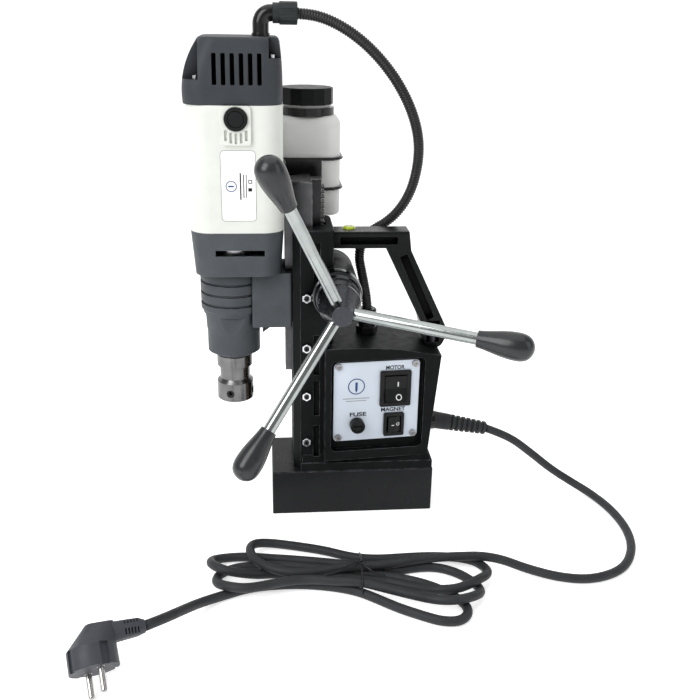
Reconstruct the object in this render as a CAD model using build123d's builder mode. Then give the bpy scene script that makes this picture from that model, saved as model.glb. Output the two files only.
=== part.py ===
from build123d import *
import math
import os

os.makedirs("parts", exist_ok=True)

# Magnetic drill press, in millimetres.
# Origin: centre of the magnet's underside. +X: from the drill towards the handle. -Y: the operator's side.

# ---- driving dimensions ----
magnet_length = 165
magnet_width = 80
magnet_height = 48
foot_top = 57
box_bottom = 66

column_front = -60.5
column_rear = -21.5
column_half = 34
column_top = 297

dovetail_rear = -42
dovetail_half = 13.2
dovetail_slope = math.tan(math.radians(30))
slide_gap = 0.1
gib_thickness = 3.4
slide_bottom = 150
slide_top = 340
slide_front = -67.6

rack_module = 1.5
pinion_teeth = 15
pinion_radius = rack_module * pinion_teeth / 2
feed_x = -19.5
feed_z = 238
boss_radius = 23

panel_yaw = 5.4
panel_x = 22.4
panel_z = 124
panel_width = 86.8
panel_height = 84.6
frame_y = -40
panel_recess = 6
panel_thickness = 2

motor_x = -111.5
motor_half_x = 43
motor_half_y = 44
motor_corner = 20
housing_bottom = 297
housing_top = 410
collar_bottom = 255
cap_top = 466

spindle_x = -118.5
nose_bottom = 165
arbor_bottom = 117
arbor_bore_radius = 9.525
gear_module = 0.8
gear_distance = 20
idler_x = (motor_x + spindle_x) / 2
idler_y = -math.sqrt(gear_distance**2 - (motor_x - idler_x) ** 2)

brush_x = -110
brush_z = 398.8

spoke_angle = 22
spoke_start = 114.7
spoke_hub_y = -94.5
spoke_radius = 5.5

bottle_x = -43
bottle_y = 72.4
bottle_bottom = 293
bottle_shoulder = 391

elbow_x = -87.2
elbow_z = 485.5
conduit_radius = 5.25
conduit_gland_x = 15.4
conduit_gland_y = 6
conduit_gland_top = 208

cord_radius = 4.25
cord_exit = (145, 0, 73)
plug_face = (-219.5, -289.9)
plug_tilt = 38.7
plug_yaw = 16.5
plug_roll = -10.2
plug_radius = 19
pin_turn = 72.3

panel_plane = Plane(
    origin=(panel_x, frame_y, panel_z),
    x_dir=(math.cos(math.radians(panel_yaw)), math.sin(math.radians(panel_yaw)), 0),
    z_dir=(math.sin(math.radians(panel_yaw)), -math.cos(math.radians(panel_yaw)), 0),
)


# ---- shared outlines ----
def box_half_width(x):
    """Half the width of the switch box, which narrows towards the handle."""
    return -frame_y - (x - panel_x) * math.tan(math.radians(panel_yaw))


def dovetail_outline(front, near, far, rear=dovetail_rear):
    """Points of a dovetail that opens at the column's front face and widens by 30 degrees to its rear."""
    spread = (rear - column_front) * dovetail_slope
    return [
        (front, -near),
        (column_front, -near),
        (rear, -near - spread),
        (rear, far + spread),
        (column_front, far),
        (front, far),
    ]


def gear_teeth(module, teeth, phase, height):
    """One gear: a root disc with thin straight-sided teeth, the first one at angle phase in degrees."""
    pitch_radius = module * teeth / 2
    tip = pitch_radius + 0.9 * module
    root = pitch_radius - 1.2 * module
    half_root = 0.62 * module
    half_tip = 0.25 * module
    with BuildSketch() as outline:
        Circle(root)
        with PolarLocations(0, teeth, start_angle=phase):
            with BuildLine():
                Polyline(
                    (root - 0.3 * module, -half_root),
                    (tip, -half_tip),
                    (tip, half_tip),
                    (root - 0.3 * module, half_root),
                    close=True,
                )
            make_face()
    return extrude(outline.sketch, height)


def bend_radii(points):
    """Arc radii for a route of straight runs: 0.45 of the shorter run over the tangent of half the turn."""
    radii = []
    for before, corner, after in zip(points, points[1:], points[2:]):
        run_in = Vector(corner) - Vector(before)
        run_out = Vector(after) - Vector(corner)
        half_turn = math.radians(run_in.get_angle(run_out)) / 2
        radii.append(0.45 * min(run_in.length, run_out.length) / math.tan(half_turn))
    return radii


def edge_exit(start, end, reach):
    """Middle of one edge of the hank's outline, and the point a given reach straight out from it."""
    middle = (Vector(*start) + Vector(*end)) / 2 + Vector(0, 0, cord_height)
    outward = (Vector(*start) - Vector(*end)).cross(Vector(0, 0, 1)).normalized()
    return middle.to_tuple(), (middle + outward * reach).to_tuple()


def route_length(wire):
    return sum(edge.length for edge in wire.edges())


# ==== magnetic base ====
groove_outer = (141, 56)
groove_inner = (105, 20)
groove_depth = 36
coil_bottom = 12.2
housing_bolt_places = [(0, -18), (0, 18), (62, -18), (62, 18)]

with BuildPart() as magnet_body:
    with BuildSketch():
        RectangleRounded(magnet_length, magnet_width, 1.5)
    extrude(amount=magnet_height)
    with BuildSketch():
        RectangleRounded(*groove_outer, 12)
        RectangleRounded(*groove_inner, 4, mode=Mode.SUBTRACT)
    extrude(amount=groove_depth, mode=Mode.SUBTRACT)
    with Locations((61.5, 0, groove_depth)):
        Cylinder(3, 20, align=(Align.CENTER, Align.CENTER, Align.MIN), mode=Mode.SUBTRACT)
    with Locations(*[(x, y, magnet_height - 11) for x, y in housing_bolt_places]):
        Cylinder(4, 12, align=(Align.CENTER, Align.CENTER, Align.MIN), mode=Mode.SUBTRACT)
    chamfer(magnet_body.faces().sort_by(Axis.Z)[-1].outer_wire().edges(), 0.8)
magnet_body.part.label = "magnet_body"
export_step(magnet_body.part, "parts/magnet_body.step")

with BuildPart() as magnet_coil:
    with BuildSketch(Plane.XY.offset(coil_bottom)):
        RectangleRounded(groove_outer[0] - 1.2, groove_outer[1] - 1.2, 11.4)
        RectangleRounded(groove_inner[0] + 1.2, groove_inner[1] + 1.2, 4.6, mode=Mode.SUBTRACT)
    extrude(amount=groove_depth - coil_bottom - 0.4)
magnet_coil.part.label = "magnet_coil"
export_step(magnet_coil.part, "parts/magnet_coil.step")

with BuildPart() as coil_potting:
    with BuildSketch(Plane.XY.offset(0.4)):
        RectangleRounded(groove_outer[0] - 0.1, groove_outer[1] - 0.1, 11.95)
        RectangleRounded(groove_inner[0] + 0.1, groove_inner[1] + 0.1, 4.05, mode=Mode.SUBTRACT)
    extrude(amount=coil_bottom - 0.6)
coil_potting.part.label = "coil_potting"
export_step(coil_potting.part, "parts/coil_potting.step")

# ==== stand: column, foot and switch box in one casting ====
box_front = -30
box_rear_low = 77.2
box_rear_high = 86.3
box_top_front = 182.5
box_top_rear = 170.6
top_knee = (45, 178.7)
gib_heights = [80, 130.3, 181, 232, 282.5]
gib_screw_x = -47.7
pocket_x = -37.8
pocket_spans = [(62, 97), (108, 145.4), (152, 193.5), (245, 285)]
cord_gland_z = 84.5
cord_gland_x = 82.2
foot_screw_x = 80
foot_screw_y = 7.7

with BuildPart() as box_blank:
    with BuildSketch(Plane.XY.offset(magnet_height)):
        with BuildLine():
            Polyline(
                (box_front, -box_half_width(box_front)),
                (92, -box_half_width(92)),
                (92, box_half_width(92)),
                (box_front, box_half_width(box_front)),
                close=True,
            )
        make_face()
        fillet(vertices().group_by(Axis.X)[-1], 5)
    extrude(amount=150)
    with BuildSketch(Plane.XZ):
        with BuildLine():
            Polyline(
                (box_front, box_bottom - 4),
                (box_rear_low, box_bottom - 4),
                (box_rear_low, box_bottom + 3),
                (box_rear_high, box_top_rear),
                top_knee,
                (8, box_top_front),
                (box_front, box_top_front),
                close=True,
            )
        make_face()
    extrude(amount=80, both=True, mode=Mode.INTERSECT)

with BuildPart() as stand_housing:
    with BuildSketch(Plane.XY.offset(magnet_height)):
        with BuildLine():
            Polyline(
                (column_front, -27.2),
                (-53.5, -column_half),
                (column_rear, -column_half),
                (column_rear, column_half),
                (-53.5, column_half),
                (column_front, 27.2),
                close=True,
            )
        make_face()
        fillet(vertices().group_by(Axis.X)[-1], 8)
    extrude(amount=column_top - magnet_height)
    chamfer(stand_housing.faces().sort_by(Axis.Z)[-1].outer_wire().edges(), 0.8)
    add(box_blank.part)
    # foot plate with a sloping shoulder up to the box
    with BuildSketch(Plane.XY.offset(magnet_height)):
        with Locations(((81.5 - 53.5) / 2, 0)):
            Rectangle(135, 78)
    extrude(amount=foot_top - magnet_height)
    with BuildSketch(Plane.XY.offset(foot_top)):
        with Locations(((80 - 52) / 2, 0)):
            Rectangle(132, 76)
    with BuildSketch(Plane.XY.offset(box_bottom - 2)):
        with Locations(((78 - 52) / 2, 0)):
            Rectangle(130, 69)
    loft()
    # cross boss for the feed pinion
    with Locations(Plane(origin=(feed_x, 0, feed_z), x_dir=(1, 0, 0), z_dir=(0, -1, 0))):
        Cylinder(boss_radius, 76)
    # dovetail channel, rack slot and pinion bore
    with BuildSketch(Plane.XY.offset(box_bottom - 3)):
        with BuildLine():
            Polyline(
                *dovetail_outline(
                    column_front - 5,
                    dovetail_half + slide_gap + gib_thickness + 0.05,
                    dovetail_half + slide_gap,
                    dovetail_rear + 0.4,
                ),
                close=True,
            )
        make_face()
        with Locations(((dovetail_rear - 28) / 2, 0)):
            Rectangle(28 - 42 + 28, 18)
    extrude(amount=column_top, mode=Mode.SUBTRACT)
    with Locations(Plane(origin=(feed_x, 0, feed_z), x_dir=(1, 0, 0), z_dir=(0, -1, 0))):
        Cylinder(13, 90, mode=Mode.SUBTRACT)
    # panel recess, switch box cavity and its openings
    with BuildSketch(panel_plane.offset(1)):
        with Locations((0.8, -3.4)):
            RectangleRounded(94, 97, 5)
    extrude(amount=-panel_recess - 1, mode=Mode.SUBTRACT)
    with BuildSketch(panel_plane.offset(-panel_recess + 1)):
        with Locations((3.5, -3.5)):
            RectangleRounded(61, 69, 3)
    extrude(amount=-20, mode=Mode.SUBTRACT)
    with Locations((29.5, 0, (box_bottom + 164) / 2)):
        Box(83, 56, 164 - box_bottom, mode=Mode.SUBTRACT)
    with Locations(Plane(origin=(50, 0, cord_gland_z), z_dir=(1, 0, 0))):
        Cylinder(8, 60, align=(Align.CENTER, Align.CENTER, Align.MIN), mode=Mode.SUBTRACT)
    with Locations((conduit_gland_x, conduit_gland_y, 150)):
        Cylinder(6, 60, align=(Align.CENTER, Align.CENTER, Align.MIN), mode=Mode.SUBTRACT)
    with Locations((61.5, 0, magnet_height)):
        Cylinder(3, 60, align=(Align.CENTER, Align.CENTER, Align.MIN), mode=Mode.SUBTRACT)
    with Locations(*[(x, y, magnet_height) for x, y in housing_bolt_places]):
        Cylinder(4.1, 60, align=(Align.CENTER, Align.CENTER, Align.MIN), mode=Mode.SUBTRACT)
    # gib screw holes and cast side pockets
    for height in gib_heights:
        with Locations(Plane(origin=(gib_screw_x, -column_half - 1, height), z_dir=(0, 1, 0))):
            Cylinder(2.55, 14, align=(Align.CENTER, Align.CENTER, Align.MIN), mode=Mode.SUBTRACT)
    for low, high in pocket_spans:
        for side in (-1, 1):
            with Locations((pocket_x, side * (column_half - 1), (low + high) / 2)):
                Box(6, 4, high - low, mode=Mode.SUBTRACT)
    # handle screw holes
    with Locations(*[(foot_screw_x, side * foot_screw_y, 160) for side in (-1, 1)]):
        Cylinder(3, 20, align=(Align.CENTER, Align.CENTER, Align.MIN), mode=Mode.SUBTRACT)
    with Locations(Plane(origin=(-29, 0, 281.5), z_dir=(1, 0, 0))):
        Cylinder(2.55, 10, align=(Align.CENTER, Align.CENTER, Align.MIN), mode=Mode.SUBTRACT)
    with Locations(Plane(origin=(-28, 0, 281.5), z_dir=(1, 0, 0))):
        Cone(4.65, 2.55, 2.5, align=(Align.CENTER, Align.CENTER, Align.MIN), mode=Mode.SUBTRACT)
stand_housing.part.label = "stand_housing"
export_step(stand_housing.part, "parts/stand_housing.step")

with BuildPart() as housing_bolts:
    for x, y in housing_bolt_places:
        with Locations((x, y, magnet_height - 10.5)):
            Cylinder(3.95, 10.5 + box_bottom - magnet_height, align=(Align.CENTER, Align.CENTER, Align.MIN))
        with Locations((x, y, box_bottom)):
            Cylinder(6.5, 8, align=(Align.CENTER, Align.CENTER, Align.MIN))
    for x, y in housing_bolt_places:
        with BuildSketch(Plane.XY.offset(box_bottom + 8)):
            with Locations((x, y)):
                RegularPolygon(3.4, 6)
        extrude(amount=-4, mode=Mode.SUBTRACT)
housing_bolts.part.label = "housing_bolts"
export_step(housing_bolts.part, "parts/housing_bolts.step")

# ==== feed pinion flange and bushes, on the operator's side of the column ====
with BuildPart() as pinion_flange:
    with BuildSketch(Plane(origin=(feed_x, 0, feed_z), x_dir=(1, 0, 0), z_dir=(0, 0, 1))):
        with BuildLine():
            Polyline(
                (7.4, -38.2),
                (24, -38.2),
                (24, -46),
                (23.4, -50),
                (21.6, -51),
                (21.6, -53),
                (22.2, -54),
                (20.8, -58.5),
                (18.9, -59.5),
                (18.9, -61.5),
                (19.6, -62.5),
                (17.6, -68),
                (15.5, -71.5),
                (7.4, -71.5),
                close=True,
            )
        make_face()
    revolve(axis=Axis((feed_x, 0, feed_z), (0, 1, 0)))
pinion_flange.part.label = "pinion_flange"
export_step(pinion_flange.part, "parts/pinion_flange.step")

with BuildPart() as pinion_bushes:
    for middle in (-26, 26):
        with Locations(Plane(origin=(feed_x, middle, feed_z), x_dir=(1, 0, 0), z_dir=(0, -1, 0))):
            Cylinder(12.95, 24)
            Cylinder(7.05, 24, mode=Mode.SUBTRACT)
pinion_bushes.part.label = "pinion_bushes"
export_step(pinion_bushes.part, "parts/pinion_bushes.step")

# ==== gib strip, its screws and lock nuts ====
gib_face = dovetail_half + slide_gap
with BuildPart() as gib_strip:
    with BuildSketch(Plane.XY.offset(box_bottom + 1)):
        with BuildLine():
            spread = (dovetail_rear - column_front) * dovetail_slope
            Polyline(
                (column_front + 0.4, -gib_face - 0.4 * dovetail_slope),
                (dovetail_rear, -gib_face - spread),
                (dovetail_rear, -gib_face - spread - gib_thickness),
                (column_front + 0.4, -gib_face - 0.4 * dovetail_slope - gib_thickness),
                close=True,
            )
        make_face()
    extrude(amount=column_top - box_bottom - 2)
gib_strip.part.label = "gib_strip"
export_step(gib_strip.part, "parts/gib_strip.step")

with BuildPart() as gib_screws:
    for height in gib_heights:
        with Locations(Plane(origin=(gib_screw_x, -39.2, height), z_dir=(0, 1, 0))):
            Cylinder(2.5, 13.6, align=(Align.CENTER, Align.CENTER, Align.MIN))
            Cylinder(1.3, 2.5, align=(Align.CENTER, Align.CENTER, Align.MIN), mode=Mode.SUBTRACT)
gib_screws.part.label = "gib_screws"
export_step(gib_screws.part, "parts/gib_screws.step")

with BuildPart() as gib_lock_nuts:
    for height in gib_heights:
        with BuildSketch(Plane(origin=(gib_screw_x, -column_half, height), x_dir=(1, 0, 0), z_dir=(0, -1, 0))):
            RegularPolygon(4.6, 6, rotation=30)
            Circle(2.55, mode=Mode.SUBTRACT)
        extrude(amount=4)
gib_lock_nuts.part.label = "gib_lock_nuts"
export_step(gib_lock_nuts.part, "parts/gib_lock_nuts.step")

# ==== control panel, switches and fuse holder ====
screw_places = [(-38.5, -38.2), (38.8, -38.2), (38.8, 38.2), (-38.5, 38.2)]
big_switch = (19, 12.7)
small_switch = (18.4, -26.5)
fuse_place = (-19.5, -24.6)
panel_face = panel_plane.offset(-panel_recess + panel_thickness)
seat_face = panel_plane.offset(-panel_recess)

with BuildPart() as control_panel:
    with BuildSketch(seat_face):
        RectangleRounded(panel_width, panel_height, 4.5)
        with Locations(big_switch):
            Rectangle(27.4, 33.4, mode=Mode.SUBTRACT)
        with Locations(small_switch):
            Rectangle(17.4, 21.4, mode=Mode.SUBTRACT)
        with Locations(fuse_place):
            Circle(6.1, mode=Mode.SUBTRACT)
        with Locations(*screw_places):
            Circle(1.9, mode=Mode.SUBTRACT)
    extrude(amount=panel_thickness)
control_panel.part.label = "control_panel"
export_step(control_panel.part, "parts/control_panel.step")

with BuildPart() as panel_screws:
    with BuildSketch(panel_face):
        with Locations(*screw_places):
            Circle(3.5)
    extrude(amount=1.6)
    chamfer(panel_screws.edges().filter_by(GeomType.CIRCLE).group_by(Axis.Y)[0], 0.01)
    with BuildSketch(panel_face.offset(1.6)):
        with Locations(*screw_places):
            Rectangle(4.2, 0.9)
            Rectangle(0.9, 4.2)
    extrude(amount=-0.9, mode=Mode.SUBTRACT)
    with BuildSketch(panel_face):
        with Locations(*screw_places):
            Circle(1.8)
    extrude(amount=-panel_thickness)
panel_screws.part.label = "panel_screws"
export_step(panel_screws.part, "parts/panel_screws.step")


def switch_body(place, bezel, body, pocket, depth):
    """A rocker switch's frame, snapped into the panel, with an open pocket for the rocker."""
    bezel_height = 2.6
    pocket_depth = 11
    with BuildPart() as frame:
        with BuildSketch(panel_face):
            with Locations(place):
                RectangleRounded(*bezel, 1.6)
        extrude(amount=bezel_height)
        with BuildSketch(panel_face):
            with Locations(place):
                Rectangle(*body)
        extrude(amount=-depth)
        with BuildSketch(panel_face.offset(bezel_height)):
            with Locations(place):
                Rectangle(*pocket)
        extrude(amount=-pocket_depth, mode=Mode.SUBTRACT)
        with BuildSketch(panel_face.offset(-depth)):
            with Locations(place):
                with GridLocations(body[0] / 2, body[1] / 3, 2, 2):
                    Rectangle(0.8, 5)
        extrude(amount=-7)
    return frame.part


def rocker_plane(place, tilt, upright):
    """Plane across a rocker: its x runs along the rocker's length, its y out of the panel."""
    pivot = panel_face.offset(-0.6) * Pos(*place, 0)
    base = panel_face.offset(-0.6)
    along = base.y_dir if upright else base.x_dir
    across = along.cross(base.z_dir)
    turned = along.rotate(Axis((0, 0, 0), across), tilt)
    return Plane(origin=pivot.position, x_dir=turned, z_dir=across)


def rocker(place, half_length, width, tilt, upright):
    """A rocker with a shallow V top, pressed in at one end, on two pivot pins."""
    side = rocker_plane(place, tilt, upright)
    lift = 0.47 * half_length
    with BuildPart() as key:
        with BuildSketch(side):
            with BuildLine():
                Polyline(
                    (-half_length, lift),
                    (0, 3.8),
                    (half_length, lift),
                    (0.62 * half_length, -5.2),
                    (-0.62 * half_length, -5.2),
                    close=True,
                )
            make_face()
        extrude(amount=width / 2, both=True)
        with BuildSketch(side):
            Circle(1.5)
        extrude(amount=width / 2 + 1.5, both=True)
    return key.part


big_pocket = (22.6, 29.6)
small_pocket = (17.2, 13.6)
pin_hole = 1.56
motor_switch_frame = switch_body(big_switch, (31.5, 38), (26.8, 32.8), big_pocket, 26)
with BuildPart() as motor_switch_body:
    add(motor_switch_frame)
    with BuildSketch(rocker_plane(big_switch, 0, True)):
        Circle(pin_hole)
    extrude(amount=big_pocket[0] / 2 + 1.6, both=True, mode=Mode.SUBTRACT)
motor_switch_body.part.label = "motor_switch_body"
export_step(motor_switch_body.part, "parts/motor_switch_body.step")

magnet_switch_frame = switch_body(small_switch, (21, 25), (16.8, 20.8), (15, 17.8), 22)
with BuildPart() as magnet_switch_body:
    add(magnet_switch_frame)
    with BuildSketch(rocker_plane(small_switch, 0, False)):
        Circle(pin_hole)
    extrude(amount=17.8 / 2 + 1.6, both=True, mode=Mode.SUBTRACT)
magnet_switch_body.part.label = "magnet_switch_body"
export_step(magnet_switch_body.part, "parts/magnet_switch_body.step")

rocker_tilt = 9
with BuildPart() as motor_rocker:
    add(rocker(big_switch, 13.2, 21.8, -rocker_tilt, True))
motor_rocker.part.label = "motor_rocker"
export_step(motor_rocker.part, "parts/motor_rocker.step")

with BuildPart() as magnet_rocker:
    add(rocker(small_switch, 6.5, 17, -rocker_tilt, False))
magnet_rocker.part.label = "magnet_rocker"
export_step(magnet_rocker.part, "parts/magnet_rocker.step")

with BuildPart() as fuse_holder_body:
    with BuildSketch(panel_face):
        with Locations(fuse_place):
            Circle(7.3)
    extrude(amount=7.5)
    with BuildSketch(panel_face):
        with Locations(fuse_place):
            Circle(6)
    extrude(amount=-34)
    with BuildSketch(panel_face.offset(7.5)):
        with Locations(fuse_place):
            Circle(5.6)
    extrude(amount=-5, mode=Mode.SUBTRACT)
    with BuildSketch(panel_face.offset(3)):
        with Locations(fuse_place):
            Circle(3.6)
    extrude(amount=-33, mode=Mode.SUBTRACT)
fuse_holder_body.part.label = "fuse_holder_body"
export_step(fuse_holder_body.part, "parts/fuse_holder_body.step")

with BuildPart() as fuse_cap:
    with BuildSketch(panel_face.offset(2.9)):
        with Locations(fuse_place):
            Circle(5.53)
    extrude(amount=3.6)
    with BuildSketch(panel_face.offset(6.5)):
        with Locations(fuse_place):
            Rectangle(8.4, 1.3)
    extrude(amount=-1.6, mode=Mode.SUBTRACT)
    with BuildSketch(panel_face.offset(2.9)):
        with Locations(fuse_place):
            Circle(3.53)
    extrude(amount=-7)
    # the fuse, clipped in the cap's stem
    with BuildSketch(panel_face.offset(-4.1)):
        with Locations(fuse_place):
            Circle(2.5)
    extrude(amount=-20)
    with BuildSketch(panel_face.offset(-10)):
        with Locations(fuse_place):
            Circle(2.6)
            Circle(2.2, mode=Mode.SUBTRACT)
    extrude(amount=-10, mode=Mode.SUBTRACT)
fuse_cap.part.label = "fuse_cap"
export_step(fuse_cap.part, "parts/fuse_cap.step")

board_y = 20
with BuildPart() as control_board:
    with Locations((30, board_y, 118)):
        Box(66, 1.6, 62)
    with Locations((12, board_y - 5.8, 130)):
        Box(24, 10, 24)
    with Locations(Plane(origin=(42, board_y - 0.8, 134), z_dir=(0, -1, 0))):
        Cylinder(8, 14, align=(Align.CENTER, Align.CENTER, Align.MIN))
    with Locations((40, board_y - 4.8, 106)):
        Box(30, 8, 14)
    with Locations(*[(30 + x, board_y + 4.4, 118 + z) for x in (-28, 28) for z in (-26, 26)]):
        Box(6, 7.2, 6)
control_board.part.label = "control_board"
export_step(control_board.part, "parts/control_board.step")

# ==== carry handle with its spirit level ====
handle_half = 13
handle_top = 290.5
level_place = (-4.7, 4.1)


def box_roof(x):
    """Height of the box's sloping roof behind its knee."""
    return top_knee[1] + (x - top_knee[0]) * (box_top_rear - top_knee[1]) / (box_rear_high - top_knee[0])


with BuildPart() as carry_handle:
    with BuildSketch(Plane.XZ):
        with BuildLine():
            Polyline(
                (column_rear, handle_top),
                (52.5, handle_top),
                (54.8, 272),
                (93.3, 193),
                (93.3, 182),
                (88, box_roof(88)),
                (73, box_roof(73)),
                (66.6, 200),
                (30, 274.5),
                (column_rear, 274.5),
                close=True,
            )
        make_face()
        fillet(vertices().sort_by_distance((52.5, 0, handle_top))[:1], 8)
        fillet(vertices().sort_by_distance((54.8, 0, 272))[:1], 10)
        fillet(vertices().sort_by_distance((93.3, 0, 193))[:1], 8)
        fillet(vertices().sort_by_distance((30, 0, 274.5))[:1], 7)
    extrude(amount=handle_half, both=True)
    fillet(carry_handle.edges().filter_by(Axis.X).group_by(Axis.Z)[-1], 2)
    # hollowed sides
    for side in (-1, 1):
        with BuildSketch(Plane.XZ.offset(-side * handle_half)):
            with Locations((13.5, 281.8)):
                RectangleRounded(56, 7.5, 1.5)
            with Locations(Location((62.3, 234.5), -65.4)):
                RectangleRounded(72, 8, 1.5)
        extrude(amount=side * 8, mode=Mode.SUBTRACT)
    with Locations((*level_place, handle_top)):
        Cylinder(6.6, 10, mode=Mode.SUBTRACT)
    # foot flange left below an open pocket on both sides of the web
    for side in (-1, 1):
        with Locations((80.2, side * 8.5, 188.5)):
            Box(13, 13, 23, mode=Mode.SUBTRACT)
    with Locations(*[(foot_screw_x, side * foot_screw_y, 165) for side in (-1, 1)]):
        Cylinder(3, 20, align=(Align.CENTER, Align.CENTER, Align.MIN), mode=Mode.SUBTRACT)
    with Locations(Plane(origin=(column_rear, 0, 281.5), z_dir=(1, 0, 0))):
        Cylinder(2.55, 9.5, align=(Align.CENTER, Align.CENTER, Align.MIN), mode=Mode.SUBTRACT)
carry_handle.part.label = "carry_handle"
export_step(carry_handle.part, "parts/carry_handle.step")

with BuildPart() as handle_screws:
    for side in (-1, 1):
        with Locations((foot_screw_x, side * foot_screw_y, 177)):
            Cylinder(5.2, 6, align=(Align.CENTER, Align.CENTER, Align.MIN))
            Cylinder(2.95, 16, align=(Align.CENTER, Align.CENTER, Align.MAX))
        with BuildSketch(Plane.XY.offset(183)):
            with Locations((foot_screw_x, side * foot_screw_y)):
                RegularPolygon(2.9, 6)
        extrude(amount=-4, mode=Mode.SUBTRACT)
    with Locations(Plane(origin=(-28, 0, 281.5), z_dir=(1, 0, 0))):
        Cylinder(2.5, 15, align=(Align.CENTER, Align.CENTER, Align.MIN))
        Cone(4.6, 2.5, 2.5, align=(Align.CENTER, Align.CENTER, Align.MIN))
        Cylinder(1.5, 2, align=(Align.CENTER, Align.CENTER, Align.MIN), mode=Mode.SUBTRACT)
handle_screws.part.label = "handle_screws"
export_step(handle_screws.part, "parts/handle_screws.step")

with BuildPart() as level_vial:
    with Locations((*level_place, handle_top - 4.9)):
        Cylinder(6.5, 5.4, align=(Align.CENTER, Align.CENTER, Align.MIN))
    with Locations((*level_place, handle_top + 0.5)):
        Cylinder(5.6, 1.8, align=(Align.CENTER, Align.CENTER, Align.MIN))
    fillet(level_vial.edges().group_by(Axis.Z)[-1], 1.5)
level_vial.part.label = "level_vial"
export_step(level_vial.part, "parts/level_vial.step")

# ==== glands ====
with BuildPart() as conduit_gland:
    with BuildSketch(Plane.XY.offset(box_top_front)):
        with Locations((conduit_gland_x, conduit_gland_y)):
            RegularPolygon(11, 6)
    extrude(amount=7)
    with Locations((conduit_gland_x, conduit_gland_y, box_top_front)):
        Cylinder(8.6, 15, align=(Align.CENTER, Align.CENTER, Align.MIN))
    with BuildSketch(Plane.XY.offset(conduit_gland_top - 12)):
        with Locations((conduit_gland_x, conduit_gland_y)):
            Circle(9.6)
    extrude(amount=12)
    fillet(conduit_gland.edges().group_by(Axis.Z)[-1], 2)
    with Locations((conduit_gland_x, conduit_gland_y, box_top_front)):
        Cylinder(5.9, 16, align=(Align.CENTER, Align.CENTER, Align.MAX))
    with Locations((conduit_gland_x, conduit_gland_y, 160)):
        Cylinder(4, 100, align=(Align.CENTER, Align.CENTER, Align.MIN), mode=Mode.SUBTRACT)
    with Locations((conduit_gland_x, conduit_gland_y, 200)):
        Cylinder(conduit_radius + 0.1, 20, align=(Align.CENTER, Align.CENTER, Align.MIN), mode=Mode.SUBTRACT)
conduit_gland.part.label = "conduit_gland"
export_step(conduit_gland.part, "parts/conduit_gland.step")

with BuildPart() as cord_gland:
    with Locations(Plane(origin=(cord_gland_x, 0, cord_gland_z), z_dir=(1, 0, 0))):
        Cylinder(10, 6, align=(Align.CENTER, Align.CENTER, Align.MIN))
        Cylinder(7.9, 21, align=(Align.CENTER, Align.CENTER, Align.MAX))
        Cylinder(4.3, 60, mode=Mode.SUBTRACT)
cord_gland.part.label = "cord_gland"
export_step(cord_gland.part, "parts/cord_gland.step")

relief_start = Vector(cord_gland_x + 6, 0, cord_gland_z)
relief_run = Vector(*cord_exit) - relief_start
relief_length = relief_run.length
relief_ribs = 7
cord_departure = (25, -1, -9)
with BuildPart() as cord_strain_relief:
    with BuildSketch(Plane(origin=relief_start, x_dir=(0, 1, 0), z_dir=(1, 0, 0))):
        Circle(9.3)
    with BuildSketch(Plane(origin=relief_start + relief_run * 0.3, x_dir=(0, 1, 0), z_dir=relief_run)):
        Circle(8.6)
    loft()
    with BuildSketch(Plane(origin=relief_start + relief_run * 0.3, x_dir=(0, 1, 0), z_dir=relief_run)):
        Circle(6.6)
    with BuildSketch(Plane(origin=Vector(*cord_exit), x_dir=(0, 1, 0), z_dir=cord_departure)):
        Circle(5.2)
    loft()
    for rib in range(relief_ribs):
        share = 0.36 + 0.6 * rib / (relief_ribs - 1)
        with BuildSketch(Plane(origin=relief_start + relief_run * share, x_dir=(0, 1, 0), z_dir=relief_run)):
            Circle(8.6 - 1.9 * rib / relief_ribs)
        extrude(amount=1.3, both=True)
cord_strain_relief.part.label = "cord_strain_relief"
export_step(cord_strain_relief.part, "parts/cord_strain_relief.step")

# ==== feed rack ====
rack_pitch = math.pi * rack_module
pitch_line = feed_x - pinion_radius
rack_root = pitch_line - 1.2 * rack_module
rack_tip = pitch_line + 0.9 * rack_module
rack_bottom = slide_bottom + 2
teeth_below = int((feed_z - rack_bottom) / rack_pitch)
teeth_above = int((slide_top - feed_z) / rack_pitch)
with BuildPart() as feed_rack:
    with BuildSketch(Plane.XZ):
        with Locations(((dovetail_rear + rack_root) / 2, (rack_bottom + slide_top) / 2)):
            Rectangle(rack_root - dovetail_rear, slide_top - rack_bottom)
        for tooth in range(-teeth_below, teeth_above):
            middle = feed_z + tooth * rack_pitch
            with BuildLine():
                Polyline(
                    (rack_root - 0.3, middle - 1.15 * 0.9),
                    (rack_tip, middle - 0.3 * rack_module),
                    (rack_tip, middle + 0.3 * rack_module),
                    (rack_root - 0.3, middle + 1.15 * 0.9),
                    close=True,
                )
            make_face()
    extrude(amount=7.5, both=True)
feed_rack.part.label = "feed_rack"
export_step(feed_rack.part, "parts/feed_rack.step")

# ==== feed pinion, hub, spokes and knobs ====
pinion_blank = gear_teeth(rack_module, pinion_teeth, 180 + 180 / pinion_teeth, 16)
with BuildPart() as pinion_shaft:
    with Locations(Plane(origin=(feed_x, 8, feed_z), x_dir=(1, 0, 0), z_dir=(0, -1, 0))):
        add(pinion_blank)
    with Locations(Plane(origin=(feed_x, 37.5, feed_z), x_dir=(1, 0, 0), z_dir=(0, -1, 0))):
        Cylinder(7, 37.5 + 104, align=(Align.CENTER, Align.CENTER, Align.MIN))
pinion_shaft.part.label = "pinion_shaft"
export_step(pinion_shaft.part, "parts/pinion_shaft.step")


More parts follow.
